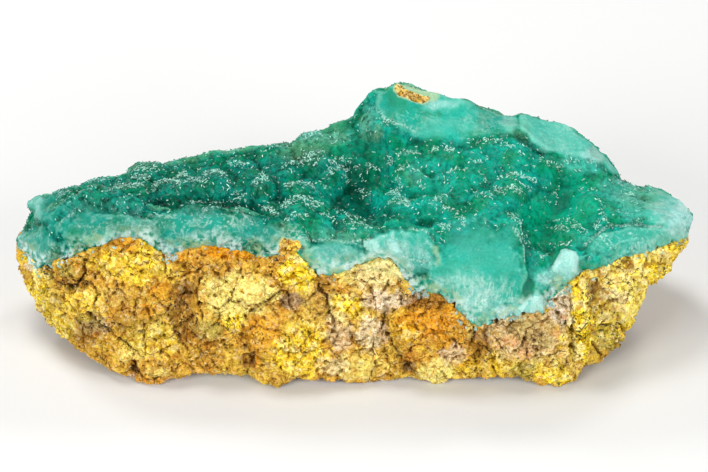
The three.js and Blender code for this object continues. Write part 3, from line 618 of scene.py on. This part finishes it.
# Arcs on the lumps where the druse is coarsest and most of its painted glints lie: by their width
# and strength, the points that each runs through.
GLINTS = {
    (0.25, 0.9): [[(30.3, 3.3), (30.9, 3.4)]],
    (0.3, 0.7): [[(36.1, 6.3), (37.9, 5.5)]],
    (0.3, 0.8): [[(37, 2.5), (37.8, 2.2), (38.4, 2.4)], [(36.9, 4.9), (38.3, 4.4)]],
    (0.3, 0.9): [[(25.3, 4.7), (25.9, 4.2)]],
    (0.35, 0.8): [[(36.4, 1.2), (37.9, 0.9), (40.4, 1.2)], [(16.9, 8), (17.6, 7.2)]],
    (0.35, 0.9): [[(32.1, 1.5), (32.6, 1)]],
    (0.4, 0.8): [
        [(-17.1, 7), (-16.9, 6.2)], [(-4.6, 6.6), (-3.8, 6.2)], [(21.5, 7), (22.6, 6.4), (23.6, 6)],
        [(-16.8, 5), (-14.2, 4.7)],
    ],
    (0.4, 0.9): [
        [(26.6, 5.8), (27.1, 5.2), (27.1, 4.1)], [(24.8, -2.9), (25.7, -2.8)], [(-1.6, 8), (-1.2, 7)],
        [(1.9, 9.4), (2.9, 9)],
    ],
    (0.45, 0.8): [[(20.3, 12.1), (21.4, 11.6), (22.2, 10.9)], [(15.4, 13), (17.7, 12.9), (19.3, 12.5)]],
    (0.45, 0.9): [
        [(5.3, 4.1), (7.6, 3.8)], [(32.3, 4.6), (33, 4), (33.3, 2.7), (33.6, 1.8)],
        [(30.1, 6.2), (30.9, 5.8), (32, 6.1)], [(11.9, 7), (12.2, 7.9), (13.1, 8.6), (14.7, 8.7)],
        [(16.6, 5.6), (18.2, 5.1)], [(-6.4, 3.9), (-4.6, 4.1)],
    ],
    (0.45, 1): [
        [(-19.8, 7.9), (-19.5, 8.5), (-18.3, 8.5), (-17.5, 8)], [(-9.1, 2.1), (-7.9, 2.7), (-6.4, 2.5)],
        [(20.8, 2.7), (21.7, 1.8), (22.3, 0.9), (23.1, -0.3), (23.7, -1.5)],
        [(3.8, 16.2), (4.3, 15.3), (5.5, 15), (7, 15.1), (8.2, 14.7)],
        [(26.6, -1.5), (27.4, -1.1), (28.7, -1.2)], [(4.2, 10.9), (4.9, 9.9)],
        [(5.9, 7.5), (6.3, 6.6), (5, 5.9)],
    ],
    (0.5, 0.7): [[(-10.9, 11.6), (-10.3, 11.9)]],
    (0.5, 0.8): [
        [(-39.3, 5.2), (-38.1, 5.5)], [(-35.6, 7), (-34.4, 7.3), (-33.5, 7.1)],
        [(-29.1, 7.7), (-27.3, 7.4)], [(-16, 5.5), (-14.8, 5.4)], [(-9.4, 8.9), (-8.5, 9.4), (-7.8, 9.2)],
        [(-21.6, 4.6), (-17.5, 4.3)], [(-4.2, 3), (-3.2, 2.2), (-2.3, 1.8)], [(-6.4, 10.9), (-4.4, 10.9)],
        [(27.4, 0.7), (29.2, 0.7)], [(15.8, 9.9), (17.4, 9.6)], [(8.7, 7.2), (9.3, 6.4)],
        [(-6.6, 10.6), (-5, 10.2)], [(-1.4, 1.6), (0.6, 1.2)],
    ],
    (0.5, 0.9): [
        [(-31.7, 6.2), (-30.3, 6.4), (-28.5, 6.5)], [(-29.1, 8.8), (-27.9, 8.6), (-26.5, 8.6)],
        [(-16.4, 9.4), (-14.5, 9.4)], [(6.2, 10.7), (7.3, 11.2), (8.4, 10.9)],
        [(6.1, 8.7), (7, 9.2), (8.1, 8.6)], [(10.4, 4.4), (11.1, 4.8), (11.9, 5)],
        [(0.3, 9.2), (0.7, 8.3), (1.2, 7.3)], [(-0.9, 2.4), (0, 2.1), (1.2, 1.8), (1.8, 0.9)],
        [(-3.3, 9.8), (-2, 10.2), (-0.8, 10)],
    ],
    (0.5, 1): [
        [(-26.7, 6.2), (-25.5, 6.8), (-24, 7), (-23.3, 6.7)],
        [(-24.3, 7.1), (-23.7, 7.7), (-22.7, 8), (-21.9, 7.3), (-20.1, 7)],
        [(-13.3, 6.8), (-12.4, 7.6), (-11.6, 7.3)], [(-8.4, 6.5), (-7.6, 6.8), (-6.1, 6.5), (-5.5, 6.2)],
        [(-3.5, 7.9), (-3.2, 8.6), (-2, 9.1), (-0.5, 8.8)],
        [(-9.1, 3.7), (-8.5, 4.5), (-7.3, 4.8), (-5.8, 4.6), (-5.5, 3.9)],
        [(-11.9, 3.6), (-10.9, 3.1), (-10, 2.7)], [(4.4, 5.8), (5.2, 5.5), (6.1, 5.2), (7.3, 4.1)],
        [(11.3, 3.7), (12.5, 3.7), (13.7, 3.2), (14.8, 1.8), (14.7, 0.9), (13.1, 0.7), (11.6, 1.2)],
        [(24.8, 10.2), (25.4, 9.8), (26.6, 9.3), (27.5, 8.6)], [(27.5, 9.5), (28.4, 9.9), (29.7, 10)],
        [(19.2, 7.8), (20.1, 7.8), (21.4, 8.1), (22.6, 7.6), (24.1, 7.3)],
        [(10.2, 11.3), (11.6, 11.7), (13.2, 11.6)], [(27.2, 1.2), (30.8, 0.5)],
    ],
    (0.6, 0.8): [[(-6.7, 12.9), (-5.9, 13.4), (-4.4, 13.2)], [(-7, 9.6), (-5.4, 9.4)]],
    (0.6, 1): [[(18.8, 6.1), (19.6, 5.8), (21.2, 6.2), (22, 5.6)], [(0.9, 5.8), (1.7, 5.5), (1.2, 4.9)]],
    (0.7, 1): [[(27, 1.6), (28.4, 2.2), (29.6, 1.6), (30.4, 0.5)]],
}
# Creases of the crust: behind the front lip, beside the big lobe and under the smooth breaks. They are
# sunk, and painted with shade as deep green.
CREASES = [
    (0.9, 0.6, [(-27.2, 4.4), (-22, 4.7), (-18, 4.3), (-14.8, 3.8), (-11, 2.4)]),
    (0.9, 1, [(22.7, 1.2), (23.6, -1.9), (24, -5.2), (23.2, -7.4)]),
    (0.9, 0.8, [(21.8, 14), (23, 13), (24, 11.9), (25.4, 11)]),
    (0.8, 0.4, [(25.4, 11), (27.5, 10.2), (29, 9.8)]),
    (0.8, 0.3, [(5.6, 13.8), (7.5, 13), (9.8, 12.2), (12.6, 11.8), (16.5, 12.5)]),
    (0.8, 0.7, [(2.4, 3.2), (6, 2.6), (10, 1.6)]), (0.7, 0.6, [(-41.4, 5.6), (-40.3, 4), (-42, 2.4)]),
    (0.6, 0.6, [(30, -1.6), (32.8, 0.6), (34.8, 1.9), (41, 1.3)]),
]
# Thin white edges of broken shells in the milky places.
SHELLS = [
    (0.3, 0.9, [(-39.4, 1.2), (-38.6, 2.3), (-37.6, 3)]),
    (0.3, 0.7, [(-27.2, 3.3), (-25.2, 2.5), (-23.8, 2.8)]),
    (0.28, 0.8, [(-20.2, 3.4), (-17.4, 4), (-14.8, 3.2), (-13.6, 1.8)]),
    (0.25, 0.6, [(-23.2, 0.2), (-22.4, 1.6), (-21.6, 1.9)]),
    (0.25, 0.6, [(-19.4, 0), (-18.2, 1.4), (-16.8, 1.2)]),
    (0.25, 0.6, [(-29, 0.6), (-28.4, 2), (-27.6, 2.6)]),
    (0.28, 0.9, [(21.3, 1), (22.7, -1.2), (23, -3.5)]), (0.22, 0.9, [(32.6, 0.2), (34.3, -1.8)]),
    (0.2, 0.8, [(33.4, 0.3), (34.7, -1.2)]),
    (0.22, 0.6, [(2.6, 17.4), (3.9, 15.8), (5.6, 14.8), (7.9, 14.2)]),
    (0.25, 0.6, [(30.6, -1), (32.8, 0.8), (34.8, 1.9), (38.1, 1.6), (41, 1.2)]),
    (0.3, 0.8, [(-6.6, -0.6), (-4, -0.3), (-1, -0.8), (2, -0.4)]),
    (0.3, 0.9, [(6.3, -2.6), (7.6, -3.2), (9.6, -3.6)]),
    (0.25, 0.8, [(7.8, 1.1), (9.4, 0.8), (10.6, -0.4)]),
]
# Skins of ochre left on the peak and on the front edge: how rusty each is and its corners.
STAINS = [
    (1, [(5.2, 20.6), (6.4, 20.3), (7, 19.4), (8.3, 19), (9.9, 18.8), (9.9, 18), (8.4, 17.9),
        (6.9, 18.1), (5.8, 18.8)]),
    (0.4, [(6.3, 20.6), (7.9, 20.3), (9.5, 19.8), (11.4, 19.4), (11.6, 18.3), (10, 18.1), (7, 18.9)]),
    (1.4, [(-9.8, -0.6), (-9.4, -0.2), (-9, -0.3), (-7.5, -0.5), (-7.3, -1.6), (-8.5, -2.1),
        (-9.9, -1.6)]),
    (0.2, [(10.5, -1.2), (11.3, -1.4), (11.6, -3.7), (10.7, -3.8)]),
]
# Icy chips with straight edges at the foot of the lobes, and the plate at the left end: how
# far each stands out, how icy it is and its corners in the front view.
CHIPS = [
    (0.8, 1, [(26.1, -4.5), (26.8, -3.3), (27.6, -2.1), (28.5, -1.9), (29.7, -2.2), (30, -2.9),
        (29.9, -4.3), (29, -5.3), (28.1, -5.6)]),
    (0.8, 1, [(21.1, -10.2), (23.5, -7.9), (24.4, -7), (25.3, -8), (25.7, -9.6), (23.7, -10)]),
    (0.35, 0.95, [(4.4, -0.5), (4.9, -0.1), (5.6, -0.5), (6.4, -1.8), (6.7, -2.7), (5.8, -3),
        (4.7, -2.3)]),
    (0.15, 0.6, [(1.2, -0.5), (2.6, -0.1), (3.6, -0.6), (3.8, -1.9), (3, -2.5), (1.7, -2.2), (1, -1.3)]),
    (0.2, 0.4, [(-44, 1.9), (-43.7, 4.6), (-42.5, 5.4), (-40.4, 5.8), (-40.9, 4.2), (-42.2, 1.7)]),
]


def within(spot, corners):
    """How far a spot of the front view lies inside these corners, in mm: below 0 outside."""
    near, odd = 9, False
    for (x0, y0), (x1, y1) in zip(corners, corners[1:] + corners[:1]):
        dx, dy = x1 - x0, y1 - y0
        t = min(1, max(0, ((spot[0] - x0) * dx + (spot[1] - y0) * dy) / (dx * dx + dy * dy)))
        near = min(near, math.hypot(spot[0] - x0 - t * dx, spot[1] - y0 - t * dy))
        if (y0 > spot[1]) != (y1 > spot[1]) and spot[0] < x0 + dx * (spot[1] - y0) / dy:
            odd = not odd
    return near if odd else -near


def on_chip(spot):
    """How icy a spot of the front view is, and how far it stands out."""
    for rise, strength, corners in CHIPS:
        depth = within(spot, corners)
        if depth > 0:
            return strength * ease(0, 0.15 / strength ** 2, depth), rise * min(1, 1.6 * depth)
    return 0, 0


def on_wall(spot):
    """How far a spot lies on a fracture wall, and how milky it is there."""
    if spot[1] < 7 or spot[0] < 1:
        return 0, 0
    depth, milky, soft = max((within(spot, corners), milky, soft) for milky, soft, corners in WALLS)
    wall = ease(-0.4 * soft, 0.6 * soft, depth)
    return wall, wall * milky


def domes(p, size, height):
    """Height at p of round lumps of this size that meet in sharp creases."""
    near = noise.voronoi(p / size)[0][0]
    return height * (math.sqrt(max(0, 1 - 1.9 * near * near)) - 0.6)


def placed_lumps(spot):
    """Height of the lumps that show in the front view, from 0 in their creases to 1."""
    height = 0
    for right, up, along, across in LUMP_TOPS:
        away = ((spot[0] - right) / (along + 1.5)) ** 2 + ((spot[1] - up + 0.7) / (across + 1.8)) ** 2
        if away < 1:
            height = max(height, (1 - away) ** 0.8)
    return height


def bubbles(p, spot, front, clear):
    """Height of the grown crust's lumps at p, in mm."""
    bent = p + 0.6 * noise.noise_vector(p * 0.5)
    height = domes(bent, 2.1, 0.2) + domes(bent, 0.9, 0.08)
    if front > 0:
        height += front * (1 - 0.25 * ease(-2, 8, spot[0])) * (placed_lumps(spot) - 0.55)
    return (1 - 0.35 * clear) * (height + (1 - 0.7 * front) * domes(bent, 4.3, 1))


def chipped(p, slope):
    """Height of the crust's breaks at p, in mm: shells of this slope with sharp edges."""
    bent = p + 0.8 * noise.noise_vector(p * 0.4)
    shells = facets(bent, 3.6, slope) + facets(bent, 1.5, 0.6 * slope) * ease(0.05, 0.2, slope)
    return 0.25 * noise.noise(p * 0.35) + shells + 0.1 * noise.noise(p) + 0.04 * noise.noise(p * 2)


over_matrix = surface_of("limonite_matrix")
crust, bm = even_skin(
    "hemimorphite_crust", "crust", CRUST_GRAIN, smoothing=8, other=over_matrix, deeper=0.8)
arcs = [(width, strength, arc) for (width, strength), group in GLINTS.items() for arc in group]
grown = defaultdict(list)
lifted = []
for v in bm.verts:
    p, n = v.co / MM, v.normal
    front = faces_front(n)
    ragged = 0.24 * noise.noise(p * 0.35) + 0.2 * noise.noise(p * 0.9) + 0.12 * noise.noise(p * 2.1)
    spot = front_view(p + 0.25 * noise.noise_vector(p * 0.8))
    gap = over_matrix.find_nearest(v.co)[3] / MM
    # The seam with the limonite runs round the sides, and low across the front view.
    outside = ease(0.45, 0.7, math.hypot(p.x / 45, p.y / 18))
    seam = ease(0.85, 0.55, n.z) * (1 - front * ease(0.8, 1.8, spot[1])) * outside
    behind = ease(0.35, 0.7, n.y - 0.3 * n.z) * (1 - front)
    ice, rise, wall, wall_milky = 0, 0, 0, 0
    if front > 0:
        ice, rise = on_chip(front_view(p))
        wall, wall_milky = on_wall(front_view(p + 0.5 * noise.noise_vector(p * 0.7)))
    crease = beside(spot, CREASES) * front
    rust = (rusty * ease(-0.3, 0.3, within(spot, corners) - ragged) for rusty, corners in STAINS)
    here = {name: inside(spot, patches, ragged, core) * front for name, (core, patches) in PLACES.items()}
    bare = max(here["bare"], wall * front, behind, ease(0, 0.4, ice))
    here["bare"] = bare
    here["milky"] = max(here["milky"], wall_milky * front, behind * (0.4 + 0.9 * ragged))
    # The creases are painted with shade, as deep green.
    here["deep_and_shade"] = max(here["deep_and_shade"], crease)
    here["dull"] += 0.4 * (1 - front)
    # Faces that turn back get the olive too: painted light through the crust's thin far edge.
    here["weathered_and_rim_light"] = max(ease(0.28, 0.65, n.y), here["weathered_and_rim_light"])
    here["wispy"] = max(here["wispy"], behind)
    here["stain"] = max(rust) * front
    here["coarse"] = beside(spot, arcs, 8) * front
    here["shell"] = beside(spot, SHELLS) * front
    here["ice"] = ice * front
    here["fringe"] = ease(2.6, 0.3, gap + 2.4 * ragged) * seam * (1 - 0.75 * front * ease(28, 31, spot[0]))
    for name, value in here.items():
        grown[name].append(value)
    height = bubbles(p, spot, front, here["clear"]) * (1 - bare) + chipped(p, 0.05 + 0.2 * behind) * bare
    height += front * (rise + facets(p, 1.7, 0.5) * ice - 0.6 * crease)
    if gap < 1.8 and (seam < 0.5 or n.z < -0.3):
        height = max(height, 0.15)
    # The lower edge is ragged, with tongues that reach down over the limonite.
    edge = ease(1.3, 0.3, gap) * seam
    height -= 0.4 * edge * ease(0.1, 0.4, noise.noise(p * 1.2 + Vector((0, 0, 7))))
    raised = p + n * height
    tongues = max(0, noise.noise(p * 0.8)) + 2 * (1 - front) * max(0, noise.noise(p * 0.3))
    raised.z -= (0.4 + 1.2 * tongues + 0.3 * max(0, noise.noise(p * 2.4))) * edge
    # Under the plate at the left end the crust is notched.
    raised.x += ease(-41.5, -43.5, spot[0]) * ease(-0.4, 0.8, spot[1]) * ease(4.4, 3, spot[1])
    lifted.append(raised * MM)
for v, place in zip(bm.verts, lifted):
    v.co = place
# How far it stands out of its near and wide surroundings, by the rounds of smoothing: the finish paints
# highlight and shade from it.
for name, rounds in (("crest", 28), ("swell", 160)):
    grown[name] = crests(bm, rounds)

# Where the druse's crystals stand: on grown places, and mostly on the crests of the lumps.
DRAW_SEED = 11
chooser = random.Random(DRAW_SEED)
seats, chances = [], []
for f in bm.faces:
    first = f.verts[0].index
    druse = 1 - grown["bare"][first]
    if druse > 0.3 and f.normal.z > 0:
        centre = f.calc_center_median()
        p = centre / MM
        seats.append((centre, f.normal.copy(), first))
        high = ease(0.06, 0.28, grown["crest"][first]) * ease(-0.1, 0.4, grown["swell"][first])
        crowded = ease(-0.15, 0.3, noise.noise(p * 0.3)) * ease(-0.25, 0.15, noise.noise(p * 1.1))
        # Upward-facing crests and the arcs get more tablets, and more of them painted as glints.
        top = 0.5 * crowded * high * ease(0.8, 0.97, f.normal.z) + grown["coarse"][first]
        grown["coarse"][first] = min(1, top)
        crowd = 0.12 * (1 - 0.6 * grown["clear"][first]) + 0.9 * top
        chances.append(druse * f.calc_area() * (crowd * (1 + 0.4 * grown["dull"][first])))
finish_mesh(crust, bm, grown)


def hemimorphite(name, rough, sheen, depth, tilt):
    """The crust's finish: how rough it is where it is grown, its reflection, how much light goes
    through it and its faces' tilt.
    """
    made = Finish(name, {
        "IOR": 1.61, "Subsurface Radius": (0.4, 1.2, 1.0), "Subsurface Scale": 1.2 * MM,
        "Specular IOR Level": sheen, "Subsurface Weight": depth,
    })
    milky, bare, crest, wispy, stain = (made.mask(x) for x in ("milky", "bare", "crest", "wispy", "stain"))
    cloud = made.noise(3.2, 3)
    fine = made.noise(0.3, 3)
    sugar = made.noise(1.1, 4)
    made.colour = made.blend(shade("058760"), shade("0a9f8b"), cloud.ease(0.4, 0.6))
    made.paint("22865a", made.noise(2.2, 3).ease(0.52, 0.7) * 0.5)
    # Painted highlight on the crests of the lumps, and painted shade in their hollows and the wide
    # hollows.
    made.paint("1ca888", crest.ease(0.05, 0.35) * 0.5)
    made.paint("00624a", crest.ease(0.0, -0.22) * 0.6)
    made.paint("005c46", made.mask("swell").ease(0.1, -0.7) * 0.5)
    made.paint("00996f", made.mask("clear") * 0.75)
    # Deep green where the crust is thick, and painted shade in the valley, the hollows and the creases.
    made.paint("004f3a", made.mask("deep_and_shade") * (0.55 + 0.4 * cloud))
    made.paint("14b09c", made.mask("blue") * (0.3 + 0.7 * sugar))
    whiteness = milky * (0.5 + 0.6 * sugar + 0.35 * cloud)
    made.paint("42ae99", whiteness.ease(0.0, 0.5))
    made.paint("a2d2cb", whiteness.ease(0.4, 1.0))
    made.paint("12ab9a", made.noise(2.8, 3).ease(0.5, 0.66) * bare * 0.45)
    made.tint(0.82, 0.94, 0.94, made.noise(1.9, 4).ease(0.46, 0.62) * bare * 0.7)
    # Painted highlight on the ridges of the breaks, and painted shade in their grooves.
    made.paint("c4e8dc", crest.ease(0.05, 0.15) * bare * 0.15)
    made.paint("2c8a74", crest.ease(-0.03, -0.12) * bare * 0.5)
    # White wisps and flecks in the milky breaks, and the pale growth next to the limonite.
    wave = made.noise(2.4, 4, made.bent(3, 1.5))
    haze = wave.ease(0.36, 0.5) * wave.ease(0.53, 0.49) * made.noise(3.5, 2).ease(0.38, 0.6)
    made.paint("aecfc0", haze * wispy * 0.55)
    thread = abs(made.noise(1.5, 4, made.bent(2, 1)) - 0.5).ease(0.025, 0.0)
    made.paint("e2f3ea", thread * made.noise(2.2, 2).ease(0.44, 0.6) * wispy * 0.55)
    flecks = made.noise(0.5, 3).ease(0.6, 0.72) * made.noise(3, 2).ease(0.45, 0.65)
    made.paint("d8efe6", flecks * milky.ease(0.3, 0.8) * 0.6)
    upright = made.noise(0.45, 3, made.vector("MULTIPLY", made.bent(3, 1), (1, 1, 0.2)))
    made.paint("c2e2d8", upright.ease(0.54, 0.66) * wispy * bare * 0.45)
    made.paint("3f9c88", upright.ease(0.46, 0.36) * wispy * bare * 0.4)
    made.paint("dff0e8", made.mask("shell") * fine.ease(0.38, 0.62) * 0.6)
    made.tint(0.62, 0.72, 0.72, made.mask("dull"))
    # Weathered olive-grey, and on faces that turn back painted light through the thin far edge.
    made.paint("7fa67c", made.mask("weathered_and_rim_light") * (0.15 + 0.4 * cloud))
    growth = made.blend(shade("d3e6de"), shade("9fb487"), made.noise(2.6, 2).ease(0.42, 0.58))
    made.paint(growth, made.mask("fringe") * made.noise(0.8, 5).ease(0.36, 0.6) * 0.8)
    facet = made.part(made.cells(1.4, output="Color"), 0)
    icy = made.blend(shade("84c2b6"), shade("b4ddd5"), facet.ease(0.2, 0.8))
    made.paint(icy, made.mask("ice") * (0.65 + 0.5 * sugar))
    # Skins of ochre: pale green round their edges, and rusty where they are strongest.
    ochre = made.blend(shade("7a5a1c"), shade("e2cb80"), made.noise(0.6, 4).ease(0.38, 0.56))
    made.paint("a5c09a", stain.ease(0.0, 0.35) * 0.85)
    ochre = made.blend(ochre, shade("b87420"), stain.ease(1.0, 1.3) * 0.7)
    made.paint(ochre, stain.ease(0.45, 0.7))
    mottled = made.noise(0.75, 4)
    grainy = (1 - bare) * (0.5 + 0.5 * made.mask("dull"))
    made.tint(0.2, 0.46, 0.46, mottled.ease(0.5, 0.38) * grainy)
    made.tint(1.25, 1.25, 1.3, mottled.ease(0.54, 0.66) * grainy)
    made.tint(0.6, 0.72, 0.7, fine.ease(0.48, 0.34) * (0.8 - 0.4 * bare))
    made.tint(1.35, 1.3, 1.3, fine.ease(0.54, 0.7) * (0.8 - 0.3 * bare))
    # Painted glints: tablets painted a pale glinting white, and a little of it on the seam crumbs.
    made.paint("bcfae8", made.mask("frost_and_painted_glint"))
    # Crystal faces a third of a millimetre wide, each tilted its own way.
    faces = made.vector("SUBTRACT", made.cells(0.32, output="Color"), (0.5, 0.5, 0.5))
    tilted = made.scaled(faces, tilt * (1 - 0.75 * bare))
    bumpy = made.vector("ADD", made.bump(fine + 0.6 * sugar, 0.08), tilted)
    made.give(
        base_color=made.colour,
        roughness=rough + 0.25 * bare,
        normal=made.vector("NORMALIZE", bumpy),
    )
    return made.material


crust.data.materials.append(
    hemimorphite("Hemimorphite", rough=0.1, sheen=0.05, depth=0.5, tilt=0.5))
for f in crust.data.polygons:
    f.use_smooth = True
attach(crust, "root")
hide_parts("hemimorphite_crust")

# The druse. Thousands of hemimorphite tablets, up to half a millimetre long and a tenth wide,
# that lie grown into the lumps at all angles. Some are clear and catch the light, and others
# are painted pale as painted glints.
TABLETS = 16000
TABLET = (0.44, 0.085, 0.1)
# The share of tablets painted pale as painted glints: between the arcs, and on them.
PAINTED_GLINT_SHARE = (0.2, 0.8)


def add_copy(bm, shape, place):
    """Adds a mesh to bm at this place."""
    shape.transform(place)
    bm.from_mesh(shape)
    shape.transform(place.inverted())


tablet = bpy.data.meshes.new("tablet")
bm = bmesh.new()
bmesh.ops.create_cube(bm, size=1)
for v in bm.verts:
    v.co = Vector((v.co.x * TABLET[0], v.co.y * TABLET[1], v.co.z * TABLET[2])) * MM
    if v.co.z > 0:
        v.co.x *= 0.8
bm.to_mesh(tablet)
bm.free()

bm = bmesh.new()
passed_on = ("milky", "clear", "deep_and_shade", "crest", "swell", "dull")
carried = defaultdict(list)
for centre, normal, index in chooser.choices(seats, chances, k=TABLETS):
    leaning = (normal + 0.22 * Vector([chooser.gauss(0, 1) for _ in range(3)])).normalized()
    heading = 7 * noise.noise(centre / MM * 0.35) + chooser.gauss(0, 0.5)
    turn = leaning.to_track_quat("Z", "Y").to_matrix().to_4x4() @ Matrix.Rotation(heading, 4, "Z")
    shift = Vector([chooser.uniform(-0.13, 0.13) for _ in range(3)]) * MM
    size = Matrix.Diagonal((chooser.uniform(0.35, 1.2), chooser.uniform(0.8, 1.3), 1, 1))
    add_copy(bm, tablet, Matrix.Translation(centre + shift) @ turn @ size)
    # Some tablets are painted pale as painted glints, more of them on the arcs.
    share = PAINTED_GLINT_SHARE[0] + (PAINTED_GLINT_SHARE[1] - PAINTED_GLINT_SHARE[0]) * grown["coarse"][index]
    frost_and_painted_glint = max(0, 1 - chooser.random() / (share * (1 - 0.6 * grown["clear"][index]))) ** 0.8
    for name, value in [(name, grown[name][index]) for name in passed_on] + [("frost_and_painted_glint", frost_and_painted_glint)]:
        carried[name] += [value] * len(tablet.vertices)
druse = new_object("druse", bpy.data.meshes.new("druse"))
finish_mesh(druse, bm, carried)
druse.data.materials.append(
    hemimorphite("Hemimorphite tablets", rough=0.04, sheen=0.5, depth=0.1, tilt=0))
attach(druse, "root")

# The limonite's loose grit: angular grains up to a millimetre, half sunk in its breaks. Some
# stick to the skins of ochre on the crust.
GRAINS = 14500
STRAY = 200
GRAIN_SHAPES = 8

shapes = []
for _ in range(GRAIN_SHAPES):
    grain = bpy.data.meshes.new("grain")
    bm = bmesh.new()
    size = {"radius1": 0.45 * MM, "radius2": 0.2 * MM, "depth": 0.6 * MM}
    bmesh.ops.create_cone(bm, segments=4, cap_ends=True, **size)
    for v in bm.verts:
        v.co *= chooser.uniform(0.6, 1.2)
    bmesh.ops.triangulate(bm, faces=bm.faces)
    bm.to_mesh(grain)
    bm.free()
    shapes.append(grain)


def add_grain(bm, centre, least, more, rare):
    """Adds a grain, turned at random. The higher rare is, the fewer are much above the least size."""
    shape = chooser.choice(shapes)
    grade = least + more * chooser.random() ** rare
    size = Matrix.Diagonal([grade * chooser.uniform(0.6, 1.1) for _ in range(3)]).to_4x4()
    turn = Matrix.Rotation(chooser.uniform(0, math.tau), 4, [chooser.gauss(0, 1) for _ in range(3)])
    add_copy(bm, shape, Matrix.Translation(centre) @ turn @ size)


bm = bmesh.new()
seats = [
    f for f in limonite.data.polygons
    if f.center.z > 0.6 * MM and not covered(f.center, f.normal, under_crust)
]
strays = [f for f in crust.data.polygons if grown["stain"][f.vertices[0]] > 0.6]
weights = [f.area * grown["stain"][f.vertices[0]] ** 3 for f in strays]
chosen = chooser.choices(seats, [f.area for f in seats], k=GRAINS)
carried = defaultdict(list)
for number, f in enumerate(chosen + chooser.choices(strays, weights, k=STRAY)):
    add_grain(bm, f.center, least=0.3, more=0.7, rare=3)
    for name in stains_and_shade:
        stain_and_shade = stains_and_shade[name][f.vertices[0]] if number < GRAINS else 0
        carried[name] += [stain_and_shade] * (len(bm.verts) - len(carried[name]))
grit = new_object("grit", bpy.data.meshes.new("grit"))
finish_mesh(grit, bm, carried)
grit.data.materials.append(ore.material)
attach(grit, "root")

# Crumbs of the crust's milky crystal, mostly under half a millimetre. They are grown into
# the limonite just under the seam, where the two minerals meet.
SEAM_CRUMBS = 700
# Where they are thick in the front view: right, up, reach right, reach up, strength.
CRUMBLY = [
    (-24.6, -2, 1.2, 2.4, 1), (-10.6, -2, 1.2, 1, 0.8), (8.6, -7.2, 1.8, 1.4, 0.6),
    (25.6, -8.6, 1.6, 1.2, 1), (28.2, -7.4, 1.2, 1.2, 0.8), (-38.6, -3.2, 2, 1.4, 0.15),
    (-43.4, -2.6, 1, 1, 0.5), (21.4, -10.6, 2.4, 0.8, 0.6), (-5.6, -3.6, 0.8, 1.4, 0.4),
    (13.6, -11.6, 1.2, 0.8, 0.3),
]

bm = bmesh.new()
chances = []
for f in seats:
    p = f.center / MM
    gap = under_crust.find_nearest(f.center)[3] / MM
    front = faces_front(f.normal)
    crowded = 0.6 * ease(-0.05, 0.35, noise.noise(p * 0.3)) * (1 - front)
    crowded += front * inside(front_view(p), CRUMBLY, 0.4 * noise.noise(p), 0.3)
    chances.append(f.area * ease(2.4, 0.2, gap) ** 2 * (0.01 + crowded))
for f in chooser.choices(seats, chances, k=SEAM_CRUMBS):
    add_grain(bm, f.center, least=0.35, more=0.8, rare=2)
crumbs = new_object("seam_crumbs", bpy.data.meshes.new("seam crumbs"))
paleness = {"milky": 0.9, "fringe": 1.2, "frost_and_painted_glint": 0.15}
finish_mesh(crumbs, bm, {name: [value] * len(bm.verts) for name, value in paleness.items()})
crumbs.data.materials.append(crust.data.materials[0])
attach(crumbs, "root")

# The table: a plain pale sheet.
floor = new_object("table", bpy.data.meshes.new("table"))
bm = bmesh.new()
bmesh.ops.create_grid(bm, x_segments=1, y_segments=1, size=3)
bm.to_mesh(floor.data)
bm.free()
floor.location.z = -0.02 * MM
white = Finish("Pale table", {"Base Color": (0.72, 0.72, 0.715, 1), "Roughness": 0.9})
floor.data.materials.append(white.material)

# Light: small bright boxes above and behind for the glints, two large ones in front, and a
# pale room.
for name, place, size, watts in (
    ("overhead", (-0.12, 0.05, 0.5), 0.16, 1.1),
    ("behind left", (-0.3, 0.3, 0.4), 0.12, 0.8),
    ("behind right", (0.25, 0.32, 0.42), 0.12, 0.8),
    ("front left", (-0.45, -0.5, 0.35), 0.35, 3.5),
    ("front right", (0.5, -0.5, 0.35), 0.4, 3.4),
):
    lamp = bpy.data.lights.new(name, "AREA")
    lamp.energy = watts
    lamp.size = size
    light = new_object(name, lamp)
    light.location = place
    light.rotation_euler = Vector(place).to_track_quat("Z", "Y").to_euler()
room = bpy.data.worlds.new("Room")
room.use_nodes = True
sky = room.node_tree.nodes["Background"]
sky.inputs["Color"].default_value = (1, 1, 1, 1)
sky.inputs["Strength"].default_value = 0.2
scene = bpy.context.scene
scene.world = room
scene.view_settings.view_transform = "Standard"

# Camera: at the front view's place, and this many mm wide at its middle.
VIEW_WIDTH = 94.4
camera = new_object("Camera", bpy.data.cameras.new("Camera"))
camera.location = (VIEW_MIDDLE + VIEW_DISTANCE * VIEW_BACK) * MM
camera.rotation_euler = VIEW_BACK.to_track_quat("Z", "Y").to_euler()
camera.data.lens = camera.data.sensor_width * VIEW_DISTANCE / VIEW_WIDTH
scene.camera = camera
